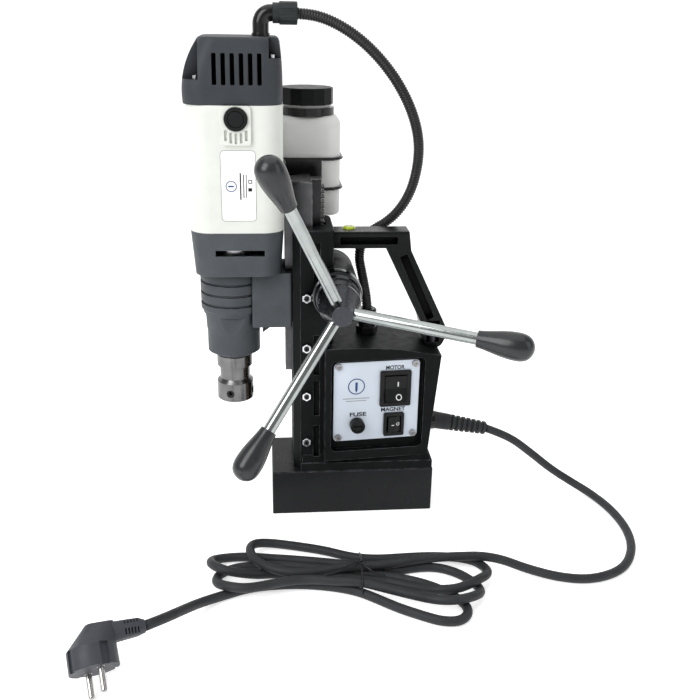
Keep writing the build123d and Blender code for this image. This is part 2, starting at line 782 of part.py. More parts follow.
def spoke_plane(index, distance):
    """Plane across spoke number index, at a distance from where the three spoke axes meet."""
    turn = math.radians(spoke_start - 120 * index)
    lean = math.radians(spoke_angle)
    run = Vector(math.cos(turn) * math.cos(lean), -math.sin(lean), math.sin(turn) * math.cos(lean))
    return Plane(origin=Vector(feed_x, spoke_hub_y, feed_z) + run * distance, z_dir=run)


with BuildPart() as feed_hub:
    with BuildSketch(Plane(origin=(feed_x, 0, feed_z), x_dir=(1, 0, 0), z_dir=(0, 0, 1))):
        with BuildLine():
            Polyline((0, -72.2), (18.5, -72.2), (19.5, -74), (19.5, -78), (9.3, -109), (0, -109), close=True)
        make_face()
    revolve(axis=Axis((feed_x, 0, feed_z), (0, 1, 0)))
    with Locations(Plane(origin=(feed_x, -70, feed_z), x_dir=(1, 0, 0), z_dir=(0, -1, 0))):
        Cylinder(7, 34.1, align=(Align.CENTER, Align.CENTER, Align.MIN), mode=Mode.SUBTRACT)
    for index in range(3):
        with BuildSketch(spoke_plane(index, 10.5)):
            Circle(spoke_radius)
        extrude(amount=40, mode=Mode.SUBTRACT)
feed_hub.part.label = "feed_hub"
export_step(feed_hub.part, "parts/feed_hub.step")

with BuildPart() as feed_spokes:
    for index in range(3):
        with BuildSketch(spoke_plane(index, 10.6)):
            Circle(spoke_radius - 0.02)
        extrude(amount=122)
feed_spokes.part.label = "feed_spokes"
export_step(feed_spokes.part, "parts/feed_spokes.step")

knob_start = 123
with BuildPart() as knob_blank:
    with BuildSketch(Plane.XZ):
        with BuildLine():
            Line((0, 0), (7.4, 0))
            Spline((7.4, 0), (10.2, 16), (12.4, 32), (9.6, 45), (0, 49.5), tangents=((0.1, 1), (-1, 0)))
            Line((0, 49.5), (0, 0))
        make_face()
    revolve(axis=Axis.Z)
    Cylinder(spoke_radius, 10, align=(Align.CENTER, Align.CENTER, Align.MIN), mode=Mode.SUBTRACT)
with BuildPart() as feed_knobs:
    with Locations(*[spoke_plane(index, knob_start).location for index in range(3)]):
        add(knob_blank.part)
feed_knobs.part.label = "feed_knobs"
export_step(feed_knobs.part, "parts/feed_knobs.step")

# ==== carriage: slide, bracket, gearbox and nose ====
bottle_screw_heights = (308, 332)
bottle_screw_x = -63.2
bolt_places = [(y, z) for y in (-8, 8) for z in (224, 246)]
bolt_seat = dovetail_rear - 7
nose_radius = 31

with BuildPart() as motor_bracket:
    with BuildSketch(Plane.XY.offset(200)):
        with Locations((-80.5, 0)):
            RectangleRounded(39, 54, 3)
        with Locations((spindle_x, 0)):
            Circle(nose_radius + 0.05, mode=Mode.SUBTRACT)
        with Locations((-61, 0)):
            Rectangle(2 * (-61 - slide_front) + 0.1, 2 * dovetail_half + 0.1, mode=Mode.SUBTRACT)
    extrude(amount=54)
    with BuildSketch(Plane.XZ):
        with BuildLine():
            Polyline((-89, 202), (-72, 202), (-74, 199), (-90, 187), close=True)
        make_face()
    extrude(amount=5, both=True)
    for y, z in bolt_places:
        with Locations(Plane(origin=(-60, y, z), z_dir=(-1, 0, 0))):
            Cylinder(3.05, 45, align=(Align.CENTER, Align.CENTER, Align.MIN), mode=Mode.SUBTRACT)
motor_bracket.part.label = "motor_bracket"
export_step(motor_bracket.part, "parts/motor_bracket.step")

with BuildPart() as slide_bar:
    with BuildSketch(Plane.XY.offset(slide_bottom)):
        with BuildLine():
            Polyline(*dovetail_outline(slide_front, dovetail_half, dovetail_half), close=True)
        make_face()
    extrude(amount=slide_top - slide_bottom)
    chamfer(slide_bar.faces().sort_by(Axis.Z)[-1].outer_wire().edges(), 0.8)
    for y, z in bolt_places:
        with Locations(Plane(origin=(-40, y, z), z_dir=(-1, 0, 0))):
            Cylinder(3.05, 45, align=(Align.CENTER, Align.CENTER, Align.MIN), mode=Mode.SUBTRACT)
            Cylinder(5.1, 9, align=(Align.CENTER, Align.CENTER, Align.MIN), mode=Mode.SUBTRACT)
    for z in bottle_screw_heights:
        with Locations(Plane(origin=(bottle_screw_x, dovetail_half + 1, z), z_dir=(0, -1, 0))):
            Cylinder(1.3, 9, align=(Align.CENTER, Align.CENTER, Align.MIN), mode=Mode.SUBTRACT)
slide_bar.part.label = "slide_bar"
export_step(slide_bar.part, "parts/slide_bar.step")

with BuildPart() as bracket_bolts:
    for y, z in bolt_places:
        with Locations(Plane(origin=(bolt_seat, y, z), z_dir=(-1, 0, 0))):
            Cylinder(3, 47, align=(Align.CENTER, Align.CENTER, Align.MIN))
            Cylinder(5, 6, align=(Align.CENTER, Align.CENTER, Align.MAX))
        with BuildSketch(Plane(origin=(bolt_seat + 6, y, z), z_dir=(-1, 0, 0))):
            RegularPolygon(2.9, 6)
        extrude(amount=3, mode=Mode.SUBTRACT)
    for z in bottle_screw_heights:
        with Locations(Plane(origin=(bottle_screw_x, dovetail_half + 2, z), z_dir=(0, -1, 0))):
            Cylinder(1.25, 9.5, align=(Align.CENTER, Align.CENTER, Align.MIN))
            Cylinder(2.05, 2, align=(Align.CENTER, Align.CENTER, Align.MAX))
bracket_bolts.part.label = "bracket_bolts"
export_step(bracket_bolts.part, "parts/bracket_bolts.step")

with BuildPart() as gear_nose:
    with BuildSketch(Plane(origin=(spindle_x, 0, 0), x_dir=(1, 0, 0), z_dir=(0, -1, 0))):
        with BuildLine():
            Polyline(
                (14, nose_bottom),
                (17.7, nose_bottom),
                (25.8, 170),
                (25.8, 190),
                (29.5, 213),
                (nose_radius, 214.5),
                (nose_radius, collar_bottom),
                (23.9, collar_bottom),
                (23.9, 260),
                (16.02, 260),
                (16.02, 231.5),
                (13, 231.5),
                (13, 184.5),
                (16.02, 184.5),
                (16.02, 172),
                (14, 172),
                close=True,
            )
        make_face()
    revolve(axis=Axis((spindle_x, 0, 0), (0, 0, 1)))
    for height in (221.5, 232, 243):
        with BuildSketch(Plane.XY.offset(height - 1.3)):
            with Locations((spindle_x, 0)):
                Circle(nose_radius + 2)
                Circle(nose_radius - 1.4, mode=Mode.SUBTRACT)
        extrude(amount=2.6, mode=Mode.SUBTRACT)
    # shallow window pockets cast into the tapered part
    with Locations((spindle_x, 0, 201.5)):
        with PolarLocations(28.5, 4, start_angle=90):
            Box(5, 24, 17, mode=Mode.SUBTRACT)
    for y, z in bolt_places:
        with Locations(Plane(origin=(-80, y, z), z_dir=(-1, 0, 0))):
            Cylinder(3.05, 17, align=(Align.CENTER, Align.CENTER, Align.MIN), mode=Mode.SUBTRACT)
    with Locations((idler_x, idler_y, 256.5)):
        Cylinder(2.55, 5, align=(Align.CENTER, Align.CENTER, Align.MIN), mode=Mode.SUBTRACT)
gear_nose.part.label = "gear_nose"
export_step(gear_nose.part, "parts/gear_nose.step")

collar_low = (80, 82)
with BuildPart() as gearbox_collar:
    with BuildSketch(Plane.XY.offset(collar_bottom)):
        with Locations((motor_x, 0)):
            RectangleRounded(*collar_low, 19)
    with BuildSketch(Plane.XY.offset(housing_bottom)):
        with Locations((motor_x, 0)):
            RectangleRounded(2 * motor_half_x, 2 * motor_half_y, motor_corner)
    loft()
    with BuildSketch(Plane.XY.offset(260)):
        with Locations((motor_x, 0)):
            RectangleRounded(70, 76.6, 14)
    extrude(amount=23, mode=Mode.SUBTRACT)
    with Locations((spindle_x, 0, 250)):
        Cylinder(24, 12, align=(Align.CENTER, Align.CENTER, Align.MIN), mode=Mode.SUBTRACT)
    with Locations((motor_x, 0, 280)):
        Cylinder(6.5, 20, align=(Align.CENTER, Align.CENTER, Align.MIN), mode=Mode.SUBTRACT)
    with Locations((motor_x, 0, 284)):
        Cylinder(11.02, 20, align=(Align.CENTER, Align.CENTER, Align.MIN), mode=Mode.SUBTRACT)
    for side in (-1, 1):
        with Locations((-109, side * 43, 277.8)):
            Box(45, 14, 5.6, mode=Mode.SUBTRACT)
    # thrust boss and blind hole for the idler's upper pin
    with Locations((idler_x, idler_y, 281.5)):
        Cylinder(6, 1.5, align=(Align.CENTER, Align.CENTER, Align.MIN))
    with Locations((idler_x, idler_y, 280)):
        Cylinder(2.55, 8.5, align=(Align.CENTER, Align.CENTER, Align.MIN), mode=Mode.SUBTRACT)
gearbox_collar.part.label = "gearbox_collar"
export_step(gearbox_collar.part, "parts/gearbox_collar.step")

# ==== motor housing, cap and what is in them ====
bridge_bottom = 404.6
cap_screw_front = [(-144.3, 29.8, 431), (-77.8, 30.6, 449)]
cap_screw_places = [(x, side * y, z) for x, y, z in cap_screw_front for side in (-1, 1)]

with BuildPart() as motor_housing:
    with BuildSketch(Plane.XY.offset(housing_bottom)):
        with Locations((motor_x, 0)):
            RectangleRounded(2 * motor_half_x, 2 * motor_half_y, motor_corner)
    extrude(amount=housing_top - housing_bottom)
    # grip hollows in the two ends
    for side in (-1, 1):
        with BuildSketch(Plane.XZ):
            with BuildLine():
                edge = motor_x + side * motor_half_x
                inner = edge - side * 3.3
                Polyline(
                    (edge + side, 303.5),
                    (inner, 310),
                    (inner, 379),
                    (edge + side, 387),
                    close=True,
                )
            make_face()
        extrude(amount=24, both=True, mode=Mode.SUBTRACT)
    # pads for the brush caps
    for side in (-1, 1):
        with BuildSketch(Plane.XZ):
            with Locations((brush_x, 393)):
                RectangleRounded(26.5, 34, 3)
        extrude(amount=-side * 46.5)
    with BuildSketch(Plane.XY.offset(housing_bottom)):
        with Locations((motor_x, 0)):
            RectangleRounded(76, 78, 16)
    extrude(amount=bridge_bottom - housing_bottom, mode=Mode.SUBTRACT)
    # upper bearing boss on a bridge, with windows between its arms
    with Locations((motor_x, 0, bridge_bottom)):
        Cylinder(14.5, 414 - bridge_bottom, align=(Align.CENTER, Align.CENTER, Align.MIN))
    with BuildSketch(Plane.XY.offset(bridge_bottom - 1)):
        with Locations((motor_x, 0)):
            RectangleRounded(76, 78, 16)
            Circle(15, mode=Mode.SUBTRACT)
            Rectangle(76, 15.8, mode=Mode.SUBTRACT)
            Rectangle(15.8, 78, mode=Mode.SUBTRACT)
    extrude(amount=9, mode=Mode.SUBTRACT)
    # brush tubes
    for side in (-1, 1):
        with Locations(Plane(origin=(brush_x, side * 14, brush_z), x_dir=(1, 0, 0), z_dir=(0, side, 0))):
            Cylinder(8.5, 26, align=(Align.CENTER, Align.CENTER, Align.MIN))
    # bosses for the cap screws
    with Locations(*[(x, y, 380) for x, y, z in cap_screw_places]):
        Cylinder(4.6, housing_top - 380, align=(Align.CENTER, Align.CENTER, Align.MIN))
    with Locations(*[(x, y, 384) for x, y, z in cap_screw_places]):
        Cylinder(1.65, 40, align=(Align.CENTER, Align.CENTER, Align.MIN), mode=Mode.SUBTRACT)
    with Locations((motor_x, 0, 400)):
        Cylinder(6.5, 20, align=(Align.CENTER, Align.CENTER, Align.MIN), mode=Mode.SUBTRACT)
    with Locations((motor_x, 0, 405.5)):
        Cylinder(11.02, 20, align=(Align.CENTER, Align.CENTER, Align.MIN), mode=Mode.SUBTRACT)
    for side in (-1, 1):
        with BuildSketch(Plane(origin=(brush_x, 0, brush_z), x_dir=(1, 0, 0), z_dir=(0, side, 0))):
            Rectangle(6.5, 9.1)
        extrude(amount=50, mode=Mode.SUBTRACT)
        with Locations(Plane(origin=(brush_x, side * 34, brush_z), x_dir=(1, 0, 0), z_dir=(0, side, 0))):
            Cylinder(6.25, 20, align=(Align.CENTER, Align.CENTER, Align.MIN), mode=Mode.SUBTRACT)
        with Locations(Plane(origin=(brush_x, side * 44.6, brush_z), x_dir=(1, 0, 0), z_dir=(0, side, 0))):
            Cylinder(10.3, 20, align=(Align.CENTER, Align.CENTER, Align.MIN), mode=Mode.SUBTRACT)
    # five short slots in each pad, under the brush cap
    for side in (-1, 1):
        with BuildSketch(Plane.XZ.offset(-side * 44.4)):
            with Locations(*[(brush_x + 4.5 * slot, 382 + 0.7 * slot * slot) for slot in range(-2, 3)]):
                RectangleRounded(2.2, 9, 0.8)
        extrude(amount=-side * 5, mode=Mode.SUBTRACT)
motor_housing.part.label = "motor_housing"
export_step(motor_housing.part, "parts/motor_housing.step")

with BuildPart() as brush_caps:
    for side in (-1, 1):
        with Locations(Plane(origin=(brush_x, side * 44.6, brush_z), x_dir=(1, 0, 0), z_dir=(0, side, 0))):
            Cylinder(10.2, 3.9, align=(Align.CENTER, Align.CENTER, Align.MIN))
            Cylinder(6.2, 8, align=(Align.CENTER, Align.CENTER, Align.MAX))
        with BuildSketch(Plane(origin=(brush_x, side * 48.5, brush_z), x_dir=(1, 0, 0), z_dir=(0, side, 0))):
            Circle(7.4)
            Circle(6.6, mode=Mode.SUBTRACT)
        extrude(amount=-0.6, mode=Mode.SUBTRACT)
brush_caps.part.label = "brush_caps"
export_step(brush_caps.part, "parts/brush_caps.step")

with BuildPart() as carbon_brushes:
    for side in (-1, 1):
        with BuildSketch(Plane(origin=(brush_x, side * 12.3, brush_z), x_dir=(1, 0, 0), z_dir=(0, side, 0))):
            Rectangle(6.5, 9.1)
        extrude(amount=17)
        with Locations(Plane(origin=(brush_x, side * 29.3, brush_z), x_dir=(1, 0, 0), z_dir=(0, side, 0))):
            Cylinder(2.4, 7.3, align=(Align.CENTER, Align.CENTER, Align.MIN))
carbon_brushes.part.label = "carbon_brushes"
export_step(carbon_brushes.part, "parts/carbon_brushes.step")

with BuildPart() as motor_cap:
    with BuildSketch(Plane.XY.offset(housing_top)):
        with Locations((-112.75, 0)):
            RectangleRounded(87.5, 88, 20)
    with BuildSketch(Plane.XY.offset(449)):
        with Locations((-110.2, 0)):
            RectangleRounded(81.5, 83, 19)
    with BuildSketch(Plane.XY.offset(cap_top)):
        with Locations((-106.3, 0)):
            RectangleRounded(70, 73, 17)
    loft()
    fillet(motor_cap.faces().sort_by(Axis.Z)[-1].outer_wire().edges(), 4)
    with BuildSketch(Plane.XY.offset(housing_top)):
        with Locations((-112.2, 0)):
            RectangleRounded(78, 79, 30)
    with BuildSketch(Plane.XY.offset(460)):
        with Locations((-107.2, 0)):
            RectangleRounded(62, 65, 25)
    loft(mode=Mode.SUBTRACT)
    # vent slots in the front
    with BuildSketch(Plane.XZ):
        with Locations(*[(-127.5 + 7.76 * slot, 440) for slot in range(6)]):
            RectangleRounded(3.8, 26, 1)
    extrude(amount=60, mode=Mode.SUBTRACT)
    # notches over the four screws
    for side in (-1, 1):
        with Locations((-151.5, side * 36, 451)):
            Box(20, 20, 40, mode=Mode.SUBTRACT)
        with Locations((-70.5, side * 37, 460)):
            Box(20, 20, 22, mode=Mode.SUBTRACT)
    with Locations(*[(x, y, housing_top - 1) for x, y, z in cap_screw_places]):
        Cylinder(1.65, 60, align=(Align.CENTER, Align.CENTER, Align.MIN), mode=Mode.SUBTRACT)
    with Locations((elbow_x, 0, cap_top - 10)):
        Cylinder(6, 20, align=(Align.CENTER, Align.CENTER, Align.MIN), mode=Mode.SUBTRACT)
motor_cap.part.label = "motor_cap"
export_step(motor_cap.part, "parts/motor_cap.step")

with BuildPart() as cap_screws:
    for x, y, z in cap_screw_places:
        with Locations((x, y, z)):
            Cylinder(2.6, 3, align=(Align.CENTER, Align.CENTER, Align.MIN))
            Cylinder(1.6, z - 388, align=(Align.CENTER, Align.CENTER, Align.MAX))
            Cylinder(1.2, 3, align=(Align.CENTER, Align.CENTER, Align.MIN), mode=Mode.SUBTRACT)
cap_screws.part.label = "cap_screws"
export_step(cap_screws.part, "parts/cap_screws.step")

with BuildPart() as motor_stator:
    with BuildSketch(Plane.XY.offset(312)):
        with Locations((motor_x, 0)):
            Circle(34)
            with GridLocations(0, 70, 1, 2):
                Rectangle(22, 8)
            Circle(23.2, mode=Mode.SUBTRACT)
    extrude(amount=60)
    # end turns of the two field windings
    for height in (306, 372):
        for side in (-1, 1):
            with Locations((motor_x, side * 28.5, height + 3)):
                Box(34, 7, 6)
motor_stator.part.label = "motor_stator"
export_step(motor_stator.part, "parts/motor_stator.step")

armature_pinion = gear_teeth(gear_module, 8, math.degrees(math.atan2(idler_y, idler_x - motor_x)), 8.3)
with BuildPart() as armature:
    with Locations((motor_x, 0, 273)):
        add(armature_pinion)
    with Locations((motor_x, 0, 281.3)):
        Cylinder(5, 414 - 281.3, align=(Align.CENTER, Align.CENTER, Align.MIN))
    with Locations((motor_x, 0, 314)):
        Cylinder(22.6, 56, align=(Align.CENTER, Align.CENTER, Align.MIN))
    with BuildSketch(Plane.XY.offset(314)):
        with Locations((motor_x, 0)):
            with PolarLocations(22.6, 12):
                Rectangle(3, 2)
    extrude(amount=56, mode=Mode.SUBTRACT)
    with Locations((motor_x, 0, 370)):
        Cylinder(18, 12, align=(Align.CENTER, Align.CENTER, Align.MIN))
    with Locations((motor_x, 0, 382)):
        Cylinder(12, 22, align=(Align.CENTER, Align.CENTER, Align.MIN))
    # cooling fan
    with Locations((motor_x, 0, 300)):
        Cylinder(32, 1.5, align=(Align.CENTER, Align.CENTER, Align.MIN))
        Cylinder(9, 14, align=(Align.CENTER, Align.CENTER, Align.MIN))
    with BuildSketch(Plane.XY.offset(301.5)):
        with Locations((motor_x, 0)):
            with PolarLocations(21, 9):
                Rectangle(20, 1.4)
    extrude(amount=3.8)
armature.part.label = "armature"
export_step(armature.part, "parts/armature.step")

idler_wheel_phase = math.degrees(math.atan2(-idler_y, motor_x - idler_x)) + 180 / 42
idler_pinion_phase = math.degrees(math.atan2(-idler_y, spindle_x - idler_x))
idler_wheel = gear_teeth(gear_module, 42, idler_wheel_phase, 7.8)
idler_pinion = gear_teeth(gear_module, 12, idler_pinion_phase, 11.2)
with BuildPart() as idler_gear:
    with Locations((idler_x, idler_y, 273.2)):
        add(idler_wheel)
    with Locations((idler_x, idler_y, 262)):
        add(idler_pinion)
    with Locations((idler_x, idler_y, 257)):
        Cylinder(2.5, 31, align=(Align.CENTER, Align.CENTER, Align.MIN))
idler_gear.part.label = "idler_gear"
export_step(idler_gear.part, "parts/idler_gear.step")

spindle_phase = math.degrees(math.atan2(idler_y, idler_x - spindle_x)) + 180 / 38
spindle_wheel = gear_teeth(gear_module, 38, spindle_phase, 10)
with BuildPart() as spindle_gear:
    with Locations((spindle_x, 0, 262)):
        add(spindle_wheel)
        Cylinder(8, 20, mode=Mode.SUBTRACT)
spindle_gear.part.label = "spindle_gear"
export_step(spindle_gear.part, "parts/spindle_gear.step")

with BuildPart() as bearings:
    for height in (172, 231.5):
        with Locations((spindle_x, 0, height)):
            Cylinder(15.98, 12, align=(Align.CENTER, Align.CENTER, Align.MIN))
            Cylinder(10.05, 12, align=(Align.CENTER, Align.CENTER, Align.MIN), mode=Mode.SUBTRACT)
    for height in (284, 405.5):
        with Locations((motor_x, 0, height)):
            Cylinder(11, 8.5, align=(Align.CENTER, Align.CENTER, Align.MIN))
            Cylinder(5.05, 8.5, align=(Align.CENTER, Align.CENTER, Align.MIN), mode=Mode.SUBTRACT)
bearings.part.label = "bearings"
export_step(bearings.part, "parts/bearings.step")

with BuildPart() as arbor:
    with BuildSketch(Plane(origin=(spindle_x, 0, 0), x_dir=(1, 0, 0), z_dir=(0, -1, 0))):
        with BuildLine():
            Polyline(
                (0, arbor_bottom),
                (17.4, arbor_bottom),
                (18.2, arbor_bottom + 0.8),
                (18.2, 136),
                (15, 139.5),
                (15, 153),
                (17.7, 153),
                (17.7, 164.4),
                (10, 164.4),
                (10, 250),
                (8, 250),
                (8, 272),
                (0, 272),
                close=True,
            )
        make_face()
    revolve(axis=Axis((spindle_x, 0, 0), (0, 0, 1)))
    with Locations((spindle_x, 0, arbor_bottom)):
        Cylinder(arbor_bore_radius, 33, align=(Align.CENTER, Align.CENTER, Align.MIN), mode=Mode.SUBTRACT)
        Cylinder(3.5, 58, align=(Align.CENTER, Align.CENTER, Align.MIN), mode=Mode.SUBTRACT)
    for turn in (-105, -15):
        with Locations(Plane(origin=(spindle_x, 0, 125.9), z_dir=Vector(1, 0, 0).rotate(Axis.Z, turn))):
            Cylinder(4, 22, align=(Align.CENTER, Align.CENTER, Align.MIN), mode=Mode.SUBTRACT)
arbor.part.label = "arbor"
export_step(arbor.part, "parts/arbor.step")

with BuildPart() as arbor_set_screws:
    for turn in (-105, -15):
        outward = Vector(1, 0, 0).rotate(Axis.Z, turn)
        with Locations(Plane(origin=Vector(spindle_x, 0, 125.9) + outward * 9.9, z_dir=outward)):
            Cylinder(4, 7, align=(Align.CENTER, Align.CENTER, Align.MIN))
        with BuildSketch(Plane(origin=Vector(spindle_x, 0, 125.9) + outward * 16.9, z_dir=outward)):
            RegularPolygon(2.3, 6)
        extrude(amount=-4, mode=Mode.SUBTRACT)
arbor_set_screws.part.label = "arbor_set_screws"
export_step(arbor_set_screws.part, "parts/arbor_set_screws.step")

# ==== cable elbow and its nut on the motor cap ====
elbow_route = [(elbow_x, 0, cap_top), (elbow_x, 0, elbow_z), (-76.5, 0, elbow_z)]
with BuildPart() as conduit_elbow:
    with BuildLine():
        FilletPolyline(*elbow_route, radius=9)
    with BuildSketch(Plane(origin=elbow_route[0], x_dir=(1, 0, 0), z_dir=(0, 0, 1))):
        Circle(7.3)
    sweep()
    with Locations(elbow_route[0]):
        Cylinder(8.2, 2.6, align=(Align.CENTER, Align.CENTER, Align.MIN))
        Cylinder(5.9, 9, align=(Align.CENTER, Align.CENTER, Align.MAX))
    with BuildLine():
        FilletPolyline((elbow_x, 0, cap_top - 9), elbow_route[1], elbow_route[2], radius=9)
    with BuildSketch(Plane(origin=(elbow_x, 0, cap_top - 9), x_dir=(1, 0, 0), z_dir=(0, 0, 1))):
        Circle(4)
    sweep(mode=Mode.SUBTRACT)
conduit_elbow.part.label = "conduit_elbow"
export_step(conduit_elbow.part, "parts/conduit_elbow.step")

nut_start = -76.5
nut_end = -54.5
conduit_end = -66
with BuildPart() as elbow_gland_nut:
    with Locations(Plane(origin=(nut_start, 0, elbow_z), z_dir=(1, 0, 0))):
        Cylinder(8.8, 6, align=(Align.CENTER, Align.CENTER, Align.MIN))
    with BuildSketch(Plane(origin=(nut_start + 6, 0, elbow_z), z_dir=(1, 0, 0))):
        Circle(9.4)
        with PolarLocations(9.3, 12):
            Rectangle(1, 2.2)
    extrude(amount=nut_end - nut_start - 6)
    chamfer(elbow_gland_nut.faces().sort_by(Axis.X)[-1].outer_wire().edges(), 0.6)
    with Locations(Plane(origin=(nut_start, 0, elbow_z), z_dir=(1, 0, 0))):
        Cylinder(4, 30, align=(Align.CENTER, Align.CENTER, Align.MIN), mode=Mode.SUBTRACT)
    with Locations(Plane(origin=(conduit_end, 0, elbow_z), z_dir=(1, 0, 0))):
        Cylinder(conduit_radius + 0.1, 30, align=(Align.CENTER, Align.CENTER, Align.MIN), mode=Mode.SUBTRACT)
elbow_gland_nut.part.label = "elbow_gland_nut"
export_step(elbow_gland_nut.part, "parts/elbow_gland_nut.step")

# ==== coolant bottle, its bracket and wires ====
bottle_size = (66, 56)
bottle_corner = 14
wire_radius = 1.5
wire_heights = (321, 350.5)
plate_face = bottle_y - bottle_size[1] / 2 - 2 * wire_radius

leg_x = -67.3

with BuildPart() as bottle_bracket:
    with Locations((-64.2, dovetail_half + 1, 320)):
        Box(6.2, 2, 38)
    with BuildSketch(Plane.XY.offset(301)):
        with BuildLine():
            Polyline(
                (leg_x, dovetail_half),
                (leg_x + 2, dovetail_half),
                (leg_x + 2, plate_face - 2.5),
                (-29.5, plate_face - 2.5),
                (-29.5, plate_face),
                (leg_x, plate_face),
                close=True,
            )
        make_face()
    extrude(amount=50)
    for z in bottle_screw_heights:
        with Locations(Plane(origin=(bottle_screw_x, dovetail_half, z), z_dir=(0, 1, 0))):
            Cylinder(1.3, 6, mode=Mode.SUBTRACT)
bottle_bracket.part.label = "bottle_bracket"
export_step(bottle_bracket.part, "parts/bottle_bracket.step")

with BuildPart() as bottle_wires:
    for height in wire_heights:
        with BuildSketch(Plane.XY.offset(height - wire_radius)):
            with Locations((bottle_x, bottle_y)):
                RectangleRounded(
                    bottle_size[0] + 4 * wire_radius, bottle_size[1] + 4 * wire_radius, bottle_corner + 2 * wire_radius
                )
                RectangleRounded(*bottle_size, bottle_corner, mode=Mode.SUBTRACT)
        extrude(amount=2 * wire_radius)
    fillet(bottle_wires.faces().filter_by(Axis.Z).edges(), 0.95 * wire_radius)
    # neck ring, resting on the bottle's shoulder
    with Locations((bottle_x, bottle_y, bottle_shoulder)):
        Cylinder(27.5, 7.5, align=(Align.CENTER, Align.CENTER, Align.MIN))
        Cylinder(23.05, 7.5, align=(Align.CENTER, Align.CENTER, Align.MIN), mode=Mode.SUBTRACT)
bottle_wires.part.label = "bottle_wires"
export_step(bottle_wires.part, "parts/bottle_wires.step")

with BuildPart() as coolant_bottle:
    with BuildSketch(Plane.XY.offset(bottle_bottom)):
        with Locations((bottle_x, bottle_y)):
            RectangleRounded(*bottle_size, bottle_corner)
    extrude(amount=bottle_shoulder - bottle_bottom)
    fillet(coolant_bottle.faces().sort_by(Axis.Z)[-1].edges(), 8)
    fillet(coolant_bottle.faces().sort_by(Axis.Z)[0].edges(), 4)
    with Locations((bottle_x, bottle_y, bottle_shoulder)):
        Cylinder(23, 413 - bottle_shoulder, align=(Align.CENTER, Align.CENTER, Align.MIN))
    with BuildSketch(Plane.XY.offset(bottle_bottom + 1.6)):
        with Locations((bottle_x, bottle_y)):
            RectangleRounded(bottle_size[0] - 3.2, bottle_size[1] - 3.2, bottle_corner - 1.6)
    extrude(amount=bottle_shoulder - bottle_bottom - 12, mode=Mode.SUBTRACT)
    with BuildSketch(Plane.XY.offset(bottle_shoulder - 12)):
        with Locations((bottle_x, bottle_y)):
            RectangleRounded(bottle_size[0] - 10, bottle_size[1] - 10, 12)
    extrude(amount=9, mode=Mode.SUBTRACT)
    with Locations((bottle_x, bottle_y, 360)):
        Cylinder(20.5, 60, align=(Align.CENTER, Align.CENTER, Align.MIN), mode=Mode.SUBTRACT)
coolant_bottle.part.label = "coolant_bottle"
export_step(coolant_bottle.part, "parts/coolant_bottle.step")

with BuildPart() as bottle_cap:
    with BuildSketch(Plane.XY.offset(401)):
        with Locations((bottle_x, bottle_y)):
            RegularPolygon(26.4, 14)
    extrude(amount=16)
    chamfer(bottle_cap.faces().sort_by(Axis.Z)[-1].edges(), 0.8)
    with Locations((bottle_x, bottle_y, 400)):
        Cylinder(23.06, 13.4, align=(Align.CENTER, Align.CENTER, Align.MIN), mode=Mode.SUBTRACT)
bottle_cap.part.label = "bottle_cap"
export_step(bottle_cap.part, "parts/bottle_cap.step")

# ==== motor conduit, from the box's gland up and over to the elbow nut ====
conduit_route = [
    (conduit_gland_x, conduit_gland_y, 200),
    (conduit_gland_x, conduit_gland_y, 214),
    (11, 13, 238),
    (6, 19, 262),
    (15, 23.5, 281),
    (39, 24.5, 294),
    (54, 23, 314),
    (61, 20, 336),
    (63, 16, 359),
    (61, 13, 378),
    (55, 10, 397),
    (45, 7, 417),
    (31, 4, 437),
    (13, 2, 456),
    (-7, 0, 471),
    (-27, 0, 481),
    (-46, 0, elbow_z),
    (conduit_end, 0, elbow_z),
]
conduit_radii = bend_radii(conduit_route)
with BuildPart() as motor_conduit:
    with BuildLine() as conduit_line:
        FilletPolyline(*conduit_route, radius=conduit_radii)
    with BuildSketch(Plane(origin=conduit_route[0], z_dir=(0, 0, 1))):
        Circle(conduit_radius)
    sweep()
motor_conduit.part.label = "motor_conduit"
export_step(motor_conduit.part, "parts/motor_conduit.step")

# ==== mains cord: run, hank, tie, tail and plug ====
hank_height = 20
hank_outline = [
    (-88, -97),
    (0, -127.5),
    (66, -127.5),
    (104, -128),
    (120, -132),
    (125, -141),
    (119.5, -152),
    (123, -166),
    (114, -196),
    (92, -232),
    (60, -232),
    (0, -187),
    (-60, -174),
    (-108, -177),
    (-115, -166),
    (-128, -167),
    (-143, -159),
    (-145, -135),
    (-112, -106),
]
cord_height = cord_radius + 0.05
cord_entry, cord_approach = edge_exit((125, -141), (119.5, -152), 26)
tail_exit, tail_approach = edge_exit((-108, -177), (-115, -166), 26)
cord_route = [
    cord_exit,
    tuple(Vector(*cord_exit) + Vector(*cord_departure)),
    (196, -2, 44),
    (221, -3, 23),
    (244, -8, 9),
    (261, -29, 4.6),
    (271, -62, 4.4),
    (273, -99, 4.4),
    (265, -134, 4.4),
    (244, -166, 4.4),
    (210, -180, 4.4),
    (172, -176, 4.4),
    cord_approach,
    cord_entry,
]
cord_radii = bend_radii(cord_route)

with BuildPart() as cord_hank:
    with BuildSketch():
        with BuildLine():
            Polyline(*hank_outline, close=True)
        make_face()
    extrude(amount=hank_height)
    chamfer(cord_hank.faces().sort_by(Axis.Z)[-1].edges(), 3)
cord_hank.part.label = "cord_hank"
export_step(cord_hank.part, "parts/cord_hank.step")

with BuildPart() as cord_tie:
    with Locations((-4, -157, 0.3)):
        Box(3, 66, hank_height + 1.7, align=(Align.CENTER, Align.CENTER, Align.MIN))
    add(cord_hank.part, mode=Mode.SUBTRACT)
cord_tie.part.label = "cord_tie"
export_step(cord_tie.part, "parts/cord_tie.step")

